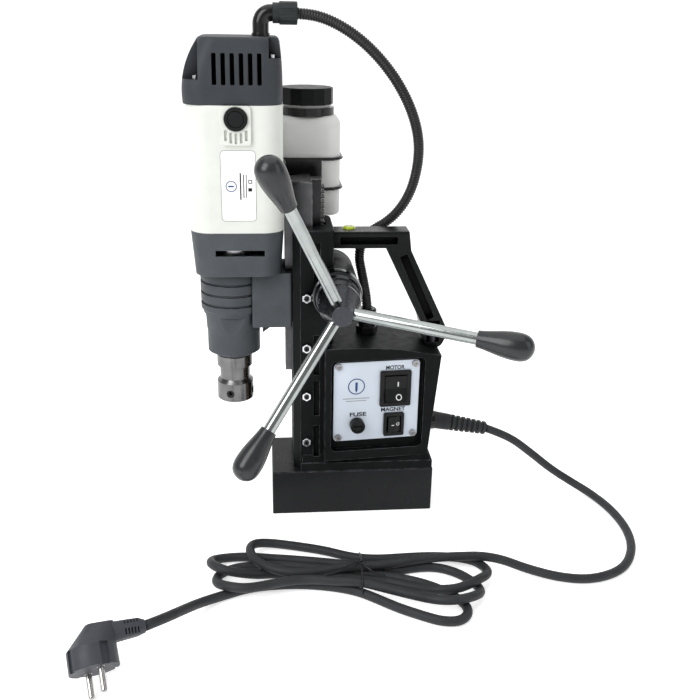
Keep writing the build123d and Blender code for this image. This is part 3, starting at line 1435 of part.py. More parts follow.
with BuildPart() as power_cord:
    with BuildLine() as cord_line:
        FilletPolyline(*cord_route, radius=cord_radii)
    with BuildSketch(Plane(origin=cord_exit, z_dir=cord_departure)):
        Circle(cord_radius)
    sweep()
power_cord.part.label = "power_cord"
export_step(power_cord.part, "parts/power_cord.step")

# plug: pins point down along pin_run, the cable leaves along cable_run
level_cable = Vector(math.cos(math.radians(plug_yaw)), math.sin(math.radians(plug_yaw)), 0)
level_run = Vector(level_cable.Y, -level_cable.X, 0)
pin_run = level_run * math.cos(math.radians(plug_tilt)) - Vector(0, 0, 1) * math.sin(math.radians(plug_tilt))
cable_run = level_cable.rotate(Axis((0, 0, 0), pin_run), plug_roll)
across_run = pin_run.cross(cable_run)
pin_line = cable_run * math.cos(math.radians(pin_turn)) + across_run * math.sin(math.radians(pin_turn))
pin_reach = 19
pin_spacing = 19
pin_radius = 2.4
pin_drop = pin_reach * -pin_run.Z + pin_spacing / 2 * pin_line.Z + pin_radius * math.cos(math.radians(plug_tilt))
face_centre = Vector(*plug_face, pin_drop + 0.1)
neck_height = 26.4
neck_end = face_centre - pin_run * neck_height + cable_run * 43
plug_plane = Plane(origin=face_centre, x_dir=cable_run, z_dir=-pin_run)


def neck_plane(along, height=neck_height):
    """The plane across the plug's neck, with its x direction up from the pin face."""
    return Plane(
        origin=face_centre - pin_run * height + cable_run * along, x_dir=-pin_run, z_dir=cable_run
    )


with BuildPart() as plug_body:
    with BuildSketch(plug_plane):
        Circle(plug_radius)
        with PolarLocations(plug_radius, 2, start_angle=-pin_turn):
            Rectangle(5, 7, mode=Mode.SUBTRACT)
        with PolarLocations(plug_radius, 2, start_angle=90 - pin_turn):
            Rectangle(4, 5, mode=Mode.SUBTRACT)
    extrude(amount=16.5)
    with BuildSketch(plug_plane.offset(16.5)):
        Circle(plug_radius)
    with BuildSketch(plug_plane.offset(34)):
        with Locations((8, 0)):
            RectangleRounded(22, 14, 5)
    loft()
    with BuildSketch(neck_plane(8, 25.4)):
        RectangleRounded(16.2, 16, 4)
    with BuildSketch(neck_plane(37.5, 26.6)):
        RectangleRounded(13.2, 13.4, 4)
    loft()
    with BuildSketch(neck_plane(37.5, 26.6)):
        RectangleRounded(13.2, 13.4, 4)
    with BuildSketch(neck_plane(43)):
        RectangleRounded(10.4, 10.4, 4.8)
    loft()
    for side in (-1, 1):
        for k in range(5):
            along = 26.4 + 2.5 * k
            with Locations(
                plug_plane.location * Pos(along, side * 6.4, 31.6),
                plug_plane.location * Pos(along, side * 6.4, 23.2),
            ):
                Box(1.3, 3.4, 4.6, mode=Mode.SUBTRACT)
    for end in (-1, 1):
        with BuildSketch(Plane(origin=face_centre + pin_line * (end * pin_spacing / 2), z_dir=-pin_run)):
            Circle(3)
        extrude(amount=8, mode=Mode.SUBTRACT)
plug_body.part.label = "plug_body"
export_step(plug_body.part, "parts/plug_body.step")

with BuildPart() as plug_pins:
    for end in (-1, 1):
        root = face_centre + pin_line * (end * pin_spacing / 2)
        with BuildSketch(Plane(origin=root - pin_run * 8, z_dir=pin_run)):
            Circle(3)
        extrude(amount=8)
        with BuildSketch(Plane(origin=root, z_dir=pin_run)):
            Circle(pin_radius)
        extrude(amount=pin_reach)
    tips = plug_pins.faces().filter_by(lambda f: (f.center() - face_centre).dot(pin_run) > pin_reach - 0.01)
    fillet(tips.edges(), 1.8)
plug_pins.part.label = "plug_pins"
export_step(plug_pins.part, "parts/plug_pins.step")

tail_route = [
    tail_exit,
    tail_approach,
    (-147, -200, 10.5),
    (-158.5, -221, 19.5),
    tuple(neck_end + cable_run * 17),
    tuple(neck_end),
]
tail_radii = bend_radii(tail_route)
with BuildPart() as cord_tail:
    with BuildLine() as tail_line:
        FilletPolyline(*tail_route, radius=tail_radii)
    with BuildSketch(Plane(origin=tail_route[0], z_dir=Vector(*tail_route[1]) - Vector(*tail_route[0]))):
        Circle(cord_radius)
    sweep()
cord_tail.part.label = "cord_tail"
export_step(cord_tail.part, "parts/cord_tail.step")

for name, tube, line, radii, radius in (
    ("motor_conduit", motor_conduit, conduit_line, conduit_radii, conduit_radius),
    ("power_cord", power_cord, cord_line, cord_radii, cord_radius),
    ("cord_tail", cord_tail, tail_line, tail_radii, cord_radius),
):
    ideal = math.pi * radius**2 * route_length(line.wire())
    print(name, "smallest bend", round(min(radii), 1), "volume ratio", round(tube.part.volume / ideal, 4))
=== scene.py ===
import bpy
import bmesh
import math
from mathutils import Matrix, Vector
from mathutils.bvhtree import BVHTree


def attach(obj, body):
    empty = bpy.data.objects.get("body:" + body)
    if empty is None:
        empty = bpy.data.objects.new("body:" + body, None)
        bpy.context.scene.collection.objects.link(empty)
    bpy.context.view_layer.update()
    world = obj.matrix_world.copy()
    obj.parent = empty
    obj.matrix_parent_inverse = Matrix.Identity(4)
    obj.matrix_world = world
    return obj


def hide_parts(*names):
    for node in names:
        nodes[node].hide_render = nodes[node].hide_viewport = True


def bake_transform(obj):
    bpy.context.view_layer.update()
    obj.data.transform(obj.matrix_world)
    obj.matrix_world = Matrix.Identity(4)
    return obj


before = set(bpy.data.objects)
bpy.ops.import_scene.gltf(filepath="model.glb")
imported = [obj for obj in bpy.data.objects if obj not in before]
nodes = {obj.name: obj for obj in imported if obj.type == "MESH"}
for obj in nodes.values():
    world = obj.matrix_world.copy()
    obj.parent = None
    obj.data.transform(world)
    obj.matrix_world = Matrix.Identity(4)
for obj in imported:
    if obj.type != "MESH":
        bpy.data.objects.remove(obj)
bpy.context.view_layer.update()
MM = 0.001
TAU = 2 * math.pi


def mm(*p):
    """A point given in millimetres, in metres."""
    return Vector([c * MM for c in p])


# ---- camera: the photograph's viewing angle ----
camera_data = bpy.data.cameras.new("camera")
camera = bpy.data.objects.new("camera", camera_data)
bpy.context.scene.collection.objects.link(camera)
yaw, pitch, roll = (math.radians(a) for a in (5.62, 20.98, 1.11))
forward = Vector((
    math.sin(yaw) * math.cos(pitch),
    math.cos(yaw) * math.cos(pitch),
    -math.sin(pitch),
))
level = Vector((math.cos(yaw), -math.sin(yaw), 0))
up = level.cross(forward)
right = level * math.cos(roll) + up * math.sin(roll)
up = up * math.cos(roll) - level * math.sin(roll)
camera_place = mm(-85.7, -852.5, 493.3)
camera_turn = Matrix((right, up, -forward)).transposed().to_4x4()
camera.matrix_world = Matrix.Translation(camera_place) @ camera_turn
camera_data.lens = 46.286
camera_data.sensor_width = 36
camera_data.clip_start = 0.01
bpy.context.scene.camera = camera


# ---- mains cord: one line from the strain relief, through the hank, to the plug ----
def line_curve(name, points):
    """A smooth NURBS curve near points given in millimetres."""
    data = bpy.data.curves.new(name, "CURVE")
    data.dimensions = "3D"
    spline = data.splines.new("NURBS")
    spline.points.add(len(points) - 1)
    for target, point in zip(spline.points, points):
        target.co = (*mm(*point), 1)
    spline.order_u = 3
    spline.use_endpoint_u = True
    data.resolution_u = 8
    curve = bpy.data.objects.new(name, data)
    bpy.context.scene.collection.objects.link(curve)
    return curve


def line_points(name, points):
    """The points of the smooth line itself, in metres."""
    curve = line_curve(name, points)
    bpy.context.view_layer.update()
    mesh = bpy.data.meshes.new_from_object(curve)
    places = [v.co.copy() for v in mesh.vertices]
    bpy.data.objects.remove(curve)
    return places


def tube(name, path, radii, sides):
    """A closed mesh tube along path, in metres, with one radius in millimetres for each point."""
    bm = bmesh.new()
    rings = []
    side = None
    for k, place in enumerate(path):
        ahead = (path[min(k + 1, len(path) - 1)] - path[max(k - 1, 0)]).normalized()
        if side is None:
            side = ahead.orthogonal().normalized()
        side = (side - ahead * side.dot(ahead)).normalized()
        other = ahead.cross(side)
        ring = []
        for j in range(sides):
            angle = TAU * j / sides
            outward = side * math.cos(angle) + other * math.sin(angle)
            ring.append(bm.verts.new(place + outward * radii[k] * MM))
        rings.append(ring)
    for near, far in zip(rings, rings[1:]):
        for j in range(sides):
            bm.faces.new((near[j], near[(j + 1) % sides], far[(j + 1) % sides], far[j]))
    bm.faces.new(rings[0][::-1])
    bm.faces.new(rings[-1])
    return mesh_piece(name, bm)


def mesh_piece(name, bm, smooth=True):
    """The object made from a bmesh, which is freed."""
    bmesh.ops.recalc_face_normals(bm, faces=bm.faces)
    mesh = bpy.data.meshes.new(name)
    bm.to_mesh(mesh)
    bm.free()
    for polygon in mesh.polygons:
        polygon.use_smooth = smooth
    piece = bpy.data.objects.new(name, mesh)
    bpy.context.scene.collection.objects.link(piece)
    return piece


def evenly(path, step):
    """Points about step millimetres apart along path, its ends kept."""
    lengths = [0.0]
    for a, b in zip(path, path[1:]):
        lengths.append(lengths[-1] + (b - a).length)
    count = round(lengths[-1] / (step * MM))
    places, k = [], 0
    for i in range(count + 1):
        want = lengths[-1] * i / count
        while k < len(path) - 2 and lengths[k + 1] < want:
            k += 1
        share = (want - lengths[k]) / (lengths[k + 1] - lengths[k])
        places.append(path[k].lerp(path[k + 1], share))
    return places


tube_sides = 20
cord_radius = 4.25
cord_path = line_points(
    "mains_cord_line",
    [
        # out of the strain relief, down to the floor and round
        (145, 0, 73), (170, -1, 64), (196, -2, 44), (221, -3, 23), (244, -8, 9), (261, -29, 4.6),
        (271, -62, 4.3), (273, -99, 4.3), (265, -134, 4.3), (244, -166, 4.3), (210, -180, 4.3),
        (180, -175, 4.3), (152, -160, 5), (130, -153, 11.5),
        # over the hank and through the tie
        (110, -150, 14.3), (92, -148.5, 13.4), (74, -147.5, 12.8), (50, -150, 12.8), (26, -155.5, 12.8),
        (2, -157.5, 12.8), (-22, -158, 12.8), (-44, -163, 12.8), (-66, -164, 12.8), (-86, -156.5, 13.2),
        (-100, -143, 13.6), (-106, -126, 13.8), (-102, -110, 10.6), (-87, -103, 6), (-62, -107.5, 4.3),
        (-34, -117, 4.3), (-10, -130, 4.3), (14, -135, 4.3), (40, -133.5, 4.3), (66, -133, 4.3),
        (90, -136, 4.3), (107, -143.5, 4.3), (114, -159, 6), (111, -176, 11.8), (98, -188, 14.4),
        (81, -197, 13.2), (63, -198, 12.8), (46, -185, 6.5), (28, -174, 4.3), (10, -168.5, 4.3),
        (-10, -163.5, 4.3), (-34, -158, 4.3), (-60, -153, 4.3), (-82, -151.5, 4.3), (-98, -154.5, 6),
        (-113, -160, 12), (-128, -159, 15.3), (-140, -147, 14), (-141, -132, 8), (-129, -123.5, 4.5),
        (-110, -122.5, 4.3), (-88, -126.5, 4.3), (-62, -131, 4.3), (-34, -137, 4.3), (-10, -143, 4.3),
        (12, -148, 4.3), (31, -154.5, 4.3), (50, -150.5, 4.3), (69, -151, 4.3), (86, -161, 4.3),
        (98, -176, 4.3), (102, -193, 5.9), (93, -208, 12.8), (76, -215, 14.3), (58, -211, 12), (36, -197, 9),
        (14, -188, 10.5), (-6, -182, 13.6), (-26, -179, 13), (-48, -174.5, 12.8), (-70, -175, 12.8),
        (-90, -181, 13), (-108, -186, 14), (-125, -181, 13.6), (-135.5, -167, 8), (-133, -150, 4.8),
        (-118, -139.5, 4.3), (-95, -137.5, 4.3), (-68, -140.5, 4.3), (-40, -146, 4.3), (-14, -152.5, 4.3),
        (10, -159, 4.3), (32, -166, 4.3), (54, -176, 4.3), (71, -190, 4.3), (83, -205, 4.3), (85, -220, 4.3),
        (75, -231, 4.3), (59, -230, 4.3), (43, -221, 4.3), (24, -209, 4.3), (6, -194, 4.3), (-10, -182, 4.3),
        (-34, -173.5, 4.3), (-60, -169, 4.3), (-86, -169, 4.3), (-108, -172.5, 4.3), (-128, -181.5, 4.3),
        (-141, -191, 7), (-151, -205, 13), (-160.4, -222, 20.5), (-172, -240.3, 27.5), (-186, -253.5, 31),
    ],
)
cord = tube("mains_cord", cord_path, [cord_radius] * len(cord_path), tube_sides)
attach(cord, "stand")
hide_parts("power_cord", "cord_hank", "cord_tail")


# ---- corrugated conduit from the switch box to the motor ----
conduit_route = [
    (15.4, 6, 200), (15.4, 6, 214), (11, 13, 238), (6, 19, 262), (15, 23.5, 281), (39, 24.5, 294),
    (54, 23, 314), (61, 20, 336), (63, 16, 359), (61, 13, 378), (55, 10, 397), (45, 7, 417),
    (31, 4, 437), (13, 2, 456), (-7, 0, 471), (-27, 0, 481), (-46, 0, 485.5), (-66, 0, 485.5),
]
# four rings make one corrugation: two on its crest, two in its groove
ring_spacing = 0.62
ring_radii = (5.25, 5.05, 4.35, 4.55)
conduit_path = evenly(line_points("conduit_line", conduit_route), ring_spacing)
conduit_radii = [ring_radii[k % len(ring_radii)] for k in range(len(conduit_path))]
conduit = tube("motor_conduit_corrugated", conduit_path, conduit_radii, tube_sides)
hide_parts("motor_conduit")
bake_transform(conduit)


# ---- the twisted wire that ties the hank ----
wire_sides = 10
wire_spacing = 2
loop_radius = 0.8
end_radius = 0.75
tie_loop = line_points("tie_line", [
    (-3, -157, 0.9), (-4.4, -180, 0.9), (-5, -190.5, 2), (-5.4, -190.6, 9), (-5, -186, 18.6),
    (-4.2, -174, 18.9), (-3.4, -160, 18.6), (-2.6, -147, 15.5), (-2, -132, 11), (-1.6, -127, 6),
    (-1.8, -128, 1.5), (-3, -157, 0.9),
])
tie_path = evenly(tie_loop, wire_spacing)
tie = tube("hank_tie", tie_path, [loop_radius] * len(tie_path), wire_sides)
tie_ends = {
    "tie_end_left": [
        (-2.8, -158, 18.9), (-8, -161, 20.6), (-16, -164.5, 19.4), (-27, -170, 16.5), (-37, -176.5, 17.6),
    ],
    "tie_end_right": [
        (-9, -158.5, 19.6), (-3.5, -163, 20.2), (3, -171, 18.2), (9, -174, 15), (17, -172, 12.5),
    ],
}
for name, route in tie_ends.items():
    end_path = evenly(line_points(name + "_line", route), wire_spacing)
    end = tube(name, end_path, [end_radius] * len(end_path), wire_sides)
    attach(end, "stand")
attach(tie, "stand")
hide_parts("cord_tie")


# ---- ink, labels and moulded marks, laid on the surface of their CAD node ----
class Sheet:
    """Flat outlines in a plane's own millimetres, dropped onto the surface below it."""

    above = 0.03  # metres over the plane where a drop starts
    reach = 0.08  # metres that a drop goes down at most

    def __init__(self, target, origin, across, along, body, slot):
        self.tree = BVHTree.FromObject(nodes[target], bpy.context.evaluated_depsgraph_get())
        self.origin = mm(*origin)
        self.across = Vector(across).normalized()
        self.along = Vector(along).normalized()
        self.out = self.across.cross(self.along)
        self.body, self.slot = body, slot

    def place(self, x, y, lift):
        """The point lift millimetres over the surface at (x, y)."""
        start = self.origin + self.across * x * MM + self.along * y * MM + self.out * self.above
        hit = self.tree.ray_cast(start, -self.out, self.reach)[0]
        return (hit or start - self.out * self.above) + self.out * lift * MM

    def lay(self, name, shapes, material, lift=0.06):
        """One thin piece made of every shape, each a list of polygons in the plane."""
        bm = bmesh.new()
        for shape in shapes:
            for polygon in shape:
                corners = [bm.verts.new(self.place(x, y, lift)) for x, y in polygon]
                bm.faces.new(corners)
        piece = mesh_piece(name, bm, smooth=False)
        piece.data.materials.append(material)
        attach(piece, self.body)


def bar(x0, y0, x1, y1):
    """One rectangle, as a shape of one polygon."""
    return [[(x0, y0), (x1, y0), (x1, y1), (x0, y1)]]


def round_box(x0, y0, x1, y1, r, steps=8):
    """The outline of a rectangle with corners of radius r."""
    outline = []
    corners = ((x1 - r, y1 - r), (x0 + r, y1 - r), (x0 + r, y0 + r), (x1 - r, y0 + r))
    for turn, (cx, cy) in enumerate(corners):
        for k in range(steps + 1):
            a = TAU * (turn + k / steps) / 4
            outline.append((cx + r * math.cos(a), cy + r * math.sin(a)))
    return outline


def frame_of(outer, inner):
    """The band between two outlines with the same number of points."""
    count = len(outer)
    return [
        [outer[k], outer[(k + 1) % count], inner[(k + 1) % count], inner[k]]
        for k in range(count)
    ]


def ring(x, y, outer, inner):
    """A flat ring round (x, y) between two radii."""
    return frame_of(circle(x, y, outer), circle(x, y, inner))


def circle(x, y, r, steps=40):
    return [(x + r * math.cos(TAU * k / steps), y + r * math.sin(TAU * k / steps)) for k in range(steps)]


def letters(text, x, y, width, height):
    """A word centred on (x, y), as polygons in the plane."""
    data = bpy.data.curves.new("letters", "FONT")
    data.body = text
    data.offset = 0.03
    word = bpy.data.objects.new("letters", data)
    bpy.context.scene.collection.objects.link(word)
    bpy.context.view_layer.update()
    mesh = bpy.data.meshes.new_from_object(word)
    xs = [v.co.x for v in mesh.vertices]
    ys = [v.co.y for v in mesh.vertices]
    across = [x + ((c - min(xs)) / (max(xs) - min(xs)) - 0.5) * width for c in xs]
    along = [y + ((c - min(ys)) / (max(ys) - min(ys)) - 0.5) * height for c in ys]
    polygons = [[(across[k], along[k]) for k in polygon.vertices] for polygon in mesh.polygons]
    bpy.data.objects.remove(word)
    return polygons


# ---- materials ----
def new_material(name):
    """A material, its node tree and its Principled shader."""
    m = bpy.data.materials.new(name)
    m.use_nodes = True
    tree = m.node_tree
    return m, tree, tree.nodes["Principled BSDF"]


def node(tree, kind, inputs=None, **props):
    """A shader node with constant inputs and properties set."""
    n = tree.nodes.new(kind)
    for key, value in props.items():
        setattr(n, key, value)
    for key, value in (inputs or {}).items():
        n.inputs[key].default_value = value
    return n


def link(tree, a, b):
    tree.links.new(a, b)


def ramp(tree, source, low, high, color_a, color_b):
    """Colour that turns from color_a to color_b as source goes from low to high."""
    r = node(tree, "ShaderNodeValToRGB")
    r.color_ramp.elements[0].position = low
    r.color_ramp.elements[0].color = (*color_a, 1)
    r.color_ramp.elements[1].position = high
    r.color_ramp.elements[1].color = (*color_b, 1)
    link(tree, source, r.inputs[0])
    return r.outputs[0]


def spread(tree, source, low, high, a, b):
    """source mapped from low..high to a..b."""
    limits = {"From Min": low, "From Max": high, "To Min": a, "To Max": b}
    r = node(tree, "ShaderNodeMapRange", limits)
    link(tree, source, r.inputs[0])
    return r.outputs[0]


def noise(tree, scale, detail, stretch=None):
    """Noise in the object's own space, scale cells per metre, stretched along an axis if wanted."""
    place = node(tree, "ShaderNodeTexCoord").outputs["Object"]
    if stretch:
        mapping = node(tree, "ShaderNodeMapping")
        mapping.inputs["Scale"].default_value = stretch
        link(tree, place, mapping.inputs[0])
        place = mapping.outputs[0]
    n = node(tree, "ShaderNodeTexNoise", {"Scale": scale, "Detail": detail})
    link(tree, place, n.inputs["Vector"])
    return n.outputs[0]


def edge_mask(tree, radius):
    """1 along convex and concave edges, 0 on open faces, with the rounded normal that makes it."""
    bevel = node(tree, "ShaderNodeBevel", {"Radius": radius}, samples=6)
    flat = node(tree, "ShaderNodeNewGeometry").outputs["Normal"]
    dot = node(tree, "ShaderNodeVectorMath", operation="DOT_PRODUCT")
    link(tree, bevel.outputs[0], dot.inputs[0])
    link(tree, flat, dot.inputs[1])
    return spread(tree, dot.outputs["Value"], 0.985, 0.9, 0, 1), bevel.outputs[0]


def surface(
    name, color, shade, rough, metallic=0.0, bump=0.0, bump_scale=900, stretch=None, blotch=60,
    edge=0.0, edge_wear_and_glint=None, wear_and_glint_share=0.5, specular=0.5, coat=0.0, coat_rough=0.1,
    transmission=0.0, ior=1.45, painted_shade_reach=0.0,
):
    """A moulded, painted or machined surface: blotchy colour, uneven gloss, fine grain and, where asked,
    painted shade in its slots and inner corners.

    Colour runs between shade and color and roughness between the two of rough. bump is the
    grain's height, edge the radius that rounds the edges and hollow the reach of the painted shade
    that darkens slots and inner corners, all in metres. worn is the colour along the edges: chipped
    paint or bare metal, and on the rack also a painted highlight.
    """
    m, tree, shader = new_material(name)
    shader.inputs["Metallic"].default_value = metallic
    shader.inputs["Specular IOR Level"].default_value = specular
    shader.inputs["IOR"].default_value = ior
    if coat:
        shader.inputs["Coat Weight"].default_value = coat
        shader.inputs["Coat Roughness"].default_value = coat_rough
    if transmission:
        shader.inputs["Transmission Weight"].default_value = transmission
    cloud = noise(tree, blotch, 5)
    tone = ramp(tree, cloud, 0.3, 0.7, shade, color)
    fine = noise(tree, bump_scale, 3, stretch)
    if edge:
        mask, normal = edge_mask(tree, edge)
        # edge colour: chipped paint or bare metal, and on the rack also a painted highlight along the teeth
        if edge_wear_and_glint:
            patch = noise(tree, 140, 6)
            wear_and_glint_mask = node(tree, "ShaderNodeMath", operation="MULTIPLY", use_clamp=True)
            link(tree, mask, wear_and_glint_mask.inputs[0])
            wear_and_glint_patch = spread(tree, patch, 0.52 - 0.3 * wear_and_glint_share, 0.62, 0.15, 1)
            link(tree, wear_and_glint_patch, wear_and_glint_mask.inputs[1])
            mix = node(tree, "ShaderNodeMix", data_type="RGBA")
            link(tree, wear_and_glint_mask.outputs[0], mix.inputs[0])
            link(tree, tone, mix.inputs[6])
            mix.inputs[7].default_value = (*edge_wear_and_glint, 1)
            tone = mix.outputs[2]
    if painted_shade_reach:
        # painted shade: deep slots and inner corners are darkened and lose specular, where less light
        # reaches
        depth = node(tree, "ShaderNodeAmbientOcclusion", {"Distance": painted_shade_reach}, samples=6)
        open_share = spread(tree, depth.outputs["AO"], 0.25, 0.8, 0.08, 1)
        shade_mix = node(tree, "ShaderNodeMix", data_type="RGBA")
        link(tree, open_share, shade_mix.inputs[0])
        shade_mix.inputs[6].default_value = (0.0015, 0.0015, 0.0015, 1)
        link(tree, tone, shade_mix.inputs[7])
        tone = shade_mix.outputs[2]
        shine = spread(tree, depth.outputs["AO"], 0.25, 0.8, 0, specular)
        link(tree, shine, shader.inputs["Specular IOR Level"])
    link(tree, tone, shader.inputs["Base Color"])
    gloss = noise(tree, blotch * 2.3, 6)
    link(tree, spread(tree, gloss, 0.3, 0.7, *rough), shader.inputs["Roughness"])
    if bump or edge:
        b = node(tree, "ShaderNodeBump", {"Strength": 1.0, "Distance": max(bump, 1e-7)})
        link(tree, fine, b.inputs["Height"])
        if edge:
            link(tree, normal, b.inputs["Normal"])
        link(tree, b.outputs[0], shader.inputs["Normal"])
    return m


# the materials given a reach for painted shade darken their slots and inner corners with it
black_paint = surface("black_paint", (0.0078, 0.0094, 0.0094), (0.0058, 0.007, 0.007), (0.36, 0.5),
                      bump=0.00002, bump_scale=700, edge=0.0009, edge_wear_and_glint=(0.14, 0.14, 0.15),
                      wear_and_glint_share=0.5, specular=0.07, painted_shade_reach=0.02)
handle_paint = surface("handle_paint", (0.008, 0.009, 0.009), (0.006, 0.0066, 0.0066), (0.22, 0.32),
                       bump=0.00001, bump_scale=500, edge=0.0008, edge_wear_and_glint=(0.05, 0.05, 0.052),
                       wear_and_glint_share=0.5, specular=0.14, painted_shade_reach=0.02)
magnet_paint = surface("magnet_paint", (0.014, 0.0145, 0.0155), (0.0115, 0.012, 0.013),
                       (0.24, 0.36), bump=0.00001, bump_scale=400, blotch=25, edge=0.0009,
                       edge_wear_and_glint=(0.2, 0.2, 0.21), specular=0.14)
grey_cast = surface("grey_cast", (0.07, 0.078, 0.086), (0.058, 0.065, 0.072), (0.4, 0.52),
                    bump=0.00003, bump_scale=650, edge=0.0009, edge_wear_and_glint=(0.16, 0.16, 0.18),
                    wear_and_glint_share=0.3, specular=0.18, painted_shade_reach=0.02)
cap_plastic = surface("cap_plastic", (0.04, 0.0445, 0.05), (0.034, 0.038, 0.044), (0.44, 0.56),
                      bump=0.00002, bump_scale=1400, edge=0.0012, specular=0.22, painted_shade_reach=0.02)
motor_white = surface("motor_white", (0.68, 0.7, 0.655), (0.64, 0.66, 0.615), (0.3, 0.42),
                      bump=0.00001, bump_scale=900, edge=0.0012, specular=0.3)
steel = surface("steel", (0.4, 0.4, 0.42), (0.3, 0.3, 0.32), (0.2, 0.32), metallic=1.0,
                bump=0.000001, bump_scale=900, stretch=(1, 1, 8), edge=0.0005)
turned_steel = surface("turned_steel", (0.19, 0.19, 0.19), (0.13, 0.13, 0.13), (0.18, 0.3),
                       metallic=1.0, bump=0.000006, bump_scale=600, stretch=(0.2, 0.2, 6),
                       edge=0.0005)
dark_steel = surface("dark_steel", (0.045, 0.045, 0.05), (0.03, 0.03, 0.034), (0.25, 0.42),
                     metallic=1.0, bump=0.00001, edge=0.0004)
slide_steel = surface("slide_steel", (0.1, 0.1, 0.105), (0.07, 0.07, 0.075), (0.26, 0.38),
                      metallic=1.0, bump=0.000001, bump_scale=700, stretch=(1, 1, 0.05),
                      edge=0.0007, edge_wear_and_glint=(0.4, 0.4, 0.4), wear_and_glint_share=0.3)
# painted highlight: the rack's bright edges are partly worn bare steel, partly painted glints on its teeth
rack_steel = surface("rack_steel", (0.05, 0.05, 0.052), (0.035, 0.035, 0.037), (0.3, 0.42),
                     metallic=1.0, bump=0.000001, bump_scale=700, edge=0.0006,
                     edge_wear_and_glint=(0.7, 0.7, 0.68), wear_and_glint_share=0.8)
zinc = surface("zinc", (0.7, 0.71, 0.73), (0.52, 0.53, 0.55), (0.16, 0.3), metallic=1.0,
               bump=0.000005, edge=0.0003)
screw_nickel = surface("screw_nickel", (0.34, 0.34, 0.35), (0.24, 0.24, 0.25), (0.2, 0.34),
                       metallic=1.0, bump=0.000005, edge=0.0003)
gunmetal = surface("gunmetal", (0.06, 0.062, 0.07), (0.042, 0.043, 0.05), (0.2, 0.32), metallic=1.0,
                   bump=0.00001, bump_scale=500, stretch=(1, 5, 1), edge=0.0006,
                   edge_wear_and_glint=(0.3, 0.3, 0.32), wear_and_glint_share=0.3)
flange_steel = surface("flange_steel", (0.07, 0.072, 0.078), (0.05, 0.052, 0.056), (0.14, 0.24),
                       metallic=1.0, bump=0.000006, bump_scale=500, stretch=(1, 6, 1), edge=0.0006)
chrome = surface("chrome", (0.4, 0.43, 0.42), (0.33, 0.355, 0.35), (0.12, 0.2), metallic=1.0,
                 bump=0.000002, bump_scale=500)
knob_plastic = surface("knob_plastic", (0.024, 0.025, 0.027), (0.018, 0.019, 0.021), (0.2, 0.28),
                       bump=0.000004, bump_scale=400, specular=0.45)
gloss_black = surface("gloss_black", (0.008, 0.008, 0.0085), (0.006, 0.006, 0.0065), (0.14, 0.24),
                      bump=0.000005, bump_scale=400, edge=0.0004, specular=0.42)
lid_black = surface("lid_black", (0.007, 0.0082, 0.0078), (0.0055, 0.0064, 0.0062), (0.34, 0.45),
                    bump=0.00001, bump_scale=800, edge=0.0006, edge_wear_and_glint=(0.05, 0.05, 0.05),
                    specular=0.12)
switch_black = surface("switch_black", (0.011, 0.0115, 0.012), (0.0085, 0.009, 0.0095), (0.3, 0.42),
                       bump=0.00001, bump_scale=1500, edge=0.0005, specular=0.2, painted_shade_reach=0.006)
rubber = surface("rubber", (0.03, 0.031, 0.033), (0.023, 0.024, 0.026), (0.48, 0.62), bump=0.00002,
                 bump_scale=1200, specular=0.3)
plug_rubber = surface("plug_rubber", (0.05, 0.052, 0.062), (0.042, 0.044, 0.054), (0.42, 0.55),
                      bump=0.00002, bump_scale=1200, edge=0.0006, specular=0.3)
conduit_black = surface("conduit_black", (0.01, 0.01, 0.011), (0.008, 0.008, 0.009), (0.28, 0.4),
                        bump=0.000005, specular=0.4)
nut_plastic = surface("nut_plastic", (0.024, 0.029, 0.029), (0.018, 0.022, 0.022), (0.34, 0.48),
                      bump=0.00002, bump_scale=1200, edge=0.0005, specular=0.3)
panel_metal = surface("panel_metal", (0.6, 0.66, 0.74), (0.56, 0.62, 0.7), (0.3, 0.4), metallic=0.2,
                      bump=0.000002, bump_scale=1500, stretch=(1, 1, 0.03), blotch=20, edge=0.0004)
bronze = surface("bronze", (0.55, 0.36, 0.15), (0.42, 0.27, 0.11), (0.28, 0.42), metallic=1.0,
                 bump=0.00001)
copper = surface("copper", (0.5, 0.2, 0.09), (0.4, 0.15, 0.06), (0.25, 0.4), metallic=1.0,
                 bump=0.0001, bump_scale=1800)
resin = surface("resin", (0.02, 0.02, 0.022), (0.014, 0.014, 0.016), (0.25, 0.4), bump=0.00003)
board = surface("board", (0.03, 0.16, 0.06), (0.02, 0.12, 0.045), (0.35, 0.5), bump=0.00004)
carbon = surface("carbon", (0.02, 0.02, 0.02), (0.014, 0.014, 0.014), (0.5, 0.65), bump=0.00004)
nickel = surface("nickel", (0.5, 0.49, 0.48), (0.38, 0.37, 0.36), (0.14, 0.26), metallic=1.0,
                 bump=0.000004)
level_fluid = surface("level_fluid", (0.5, 0.6, 0.05), (0.42, 0.52, 0.035), (0.08, 0.14), coat=0.5,
                      coat_rough=0.05)
bottle_plastic = surface("bottle_plastic", (0.8, 0.8, 0.79), (0.76, 0.765, 0.75), (0.34, 0.46),
                         bump=0.00001, transmission=0.1, ior=1.5, specular=0.3)
ink_black = surface("ink_black", (0.012, 0.012, 0.013), (0.009, 0.009, 0.01), (0.4, 0.5),
                    bump=0.000002, specular=0.2)
ink_white = surface("ink_white", (0.8, 0.8, 0.8), (0.74, 0.74, 0.74), (0.4, 0.5), bump=0.000002,
                    specular=0.3)
ink_grey = surface("ink_grey", (0.3, 0.3, 0.3), (0.26, 0.26, 0.26), (0.4, 0.5), bump=0.000002,
                   specular=0.3)
ink_blue = surface("ink_blue", (0.02, 0.06, 0.2), (0.015, 0.05, 0.17), (0.4, 0.5), bump=0.000002,
                   specular=0.3)
label_white = surface("label_white", (0.9, 0.9, 0.9), (0.87, 0.87, 0.87), (0.2, 0.3), bump=0.000002,
                      specular=0.4)


def dress(material, *names):
    """Gives the material to the CAD nodes named."""
    for name in names:
        nodes[name].data.materials.clear()
        nodes[name].data.materials.append(material)


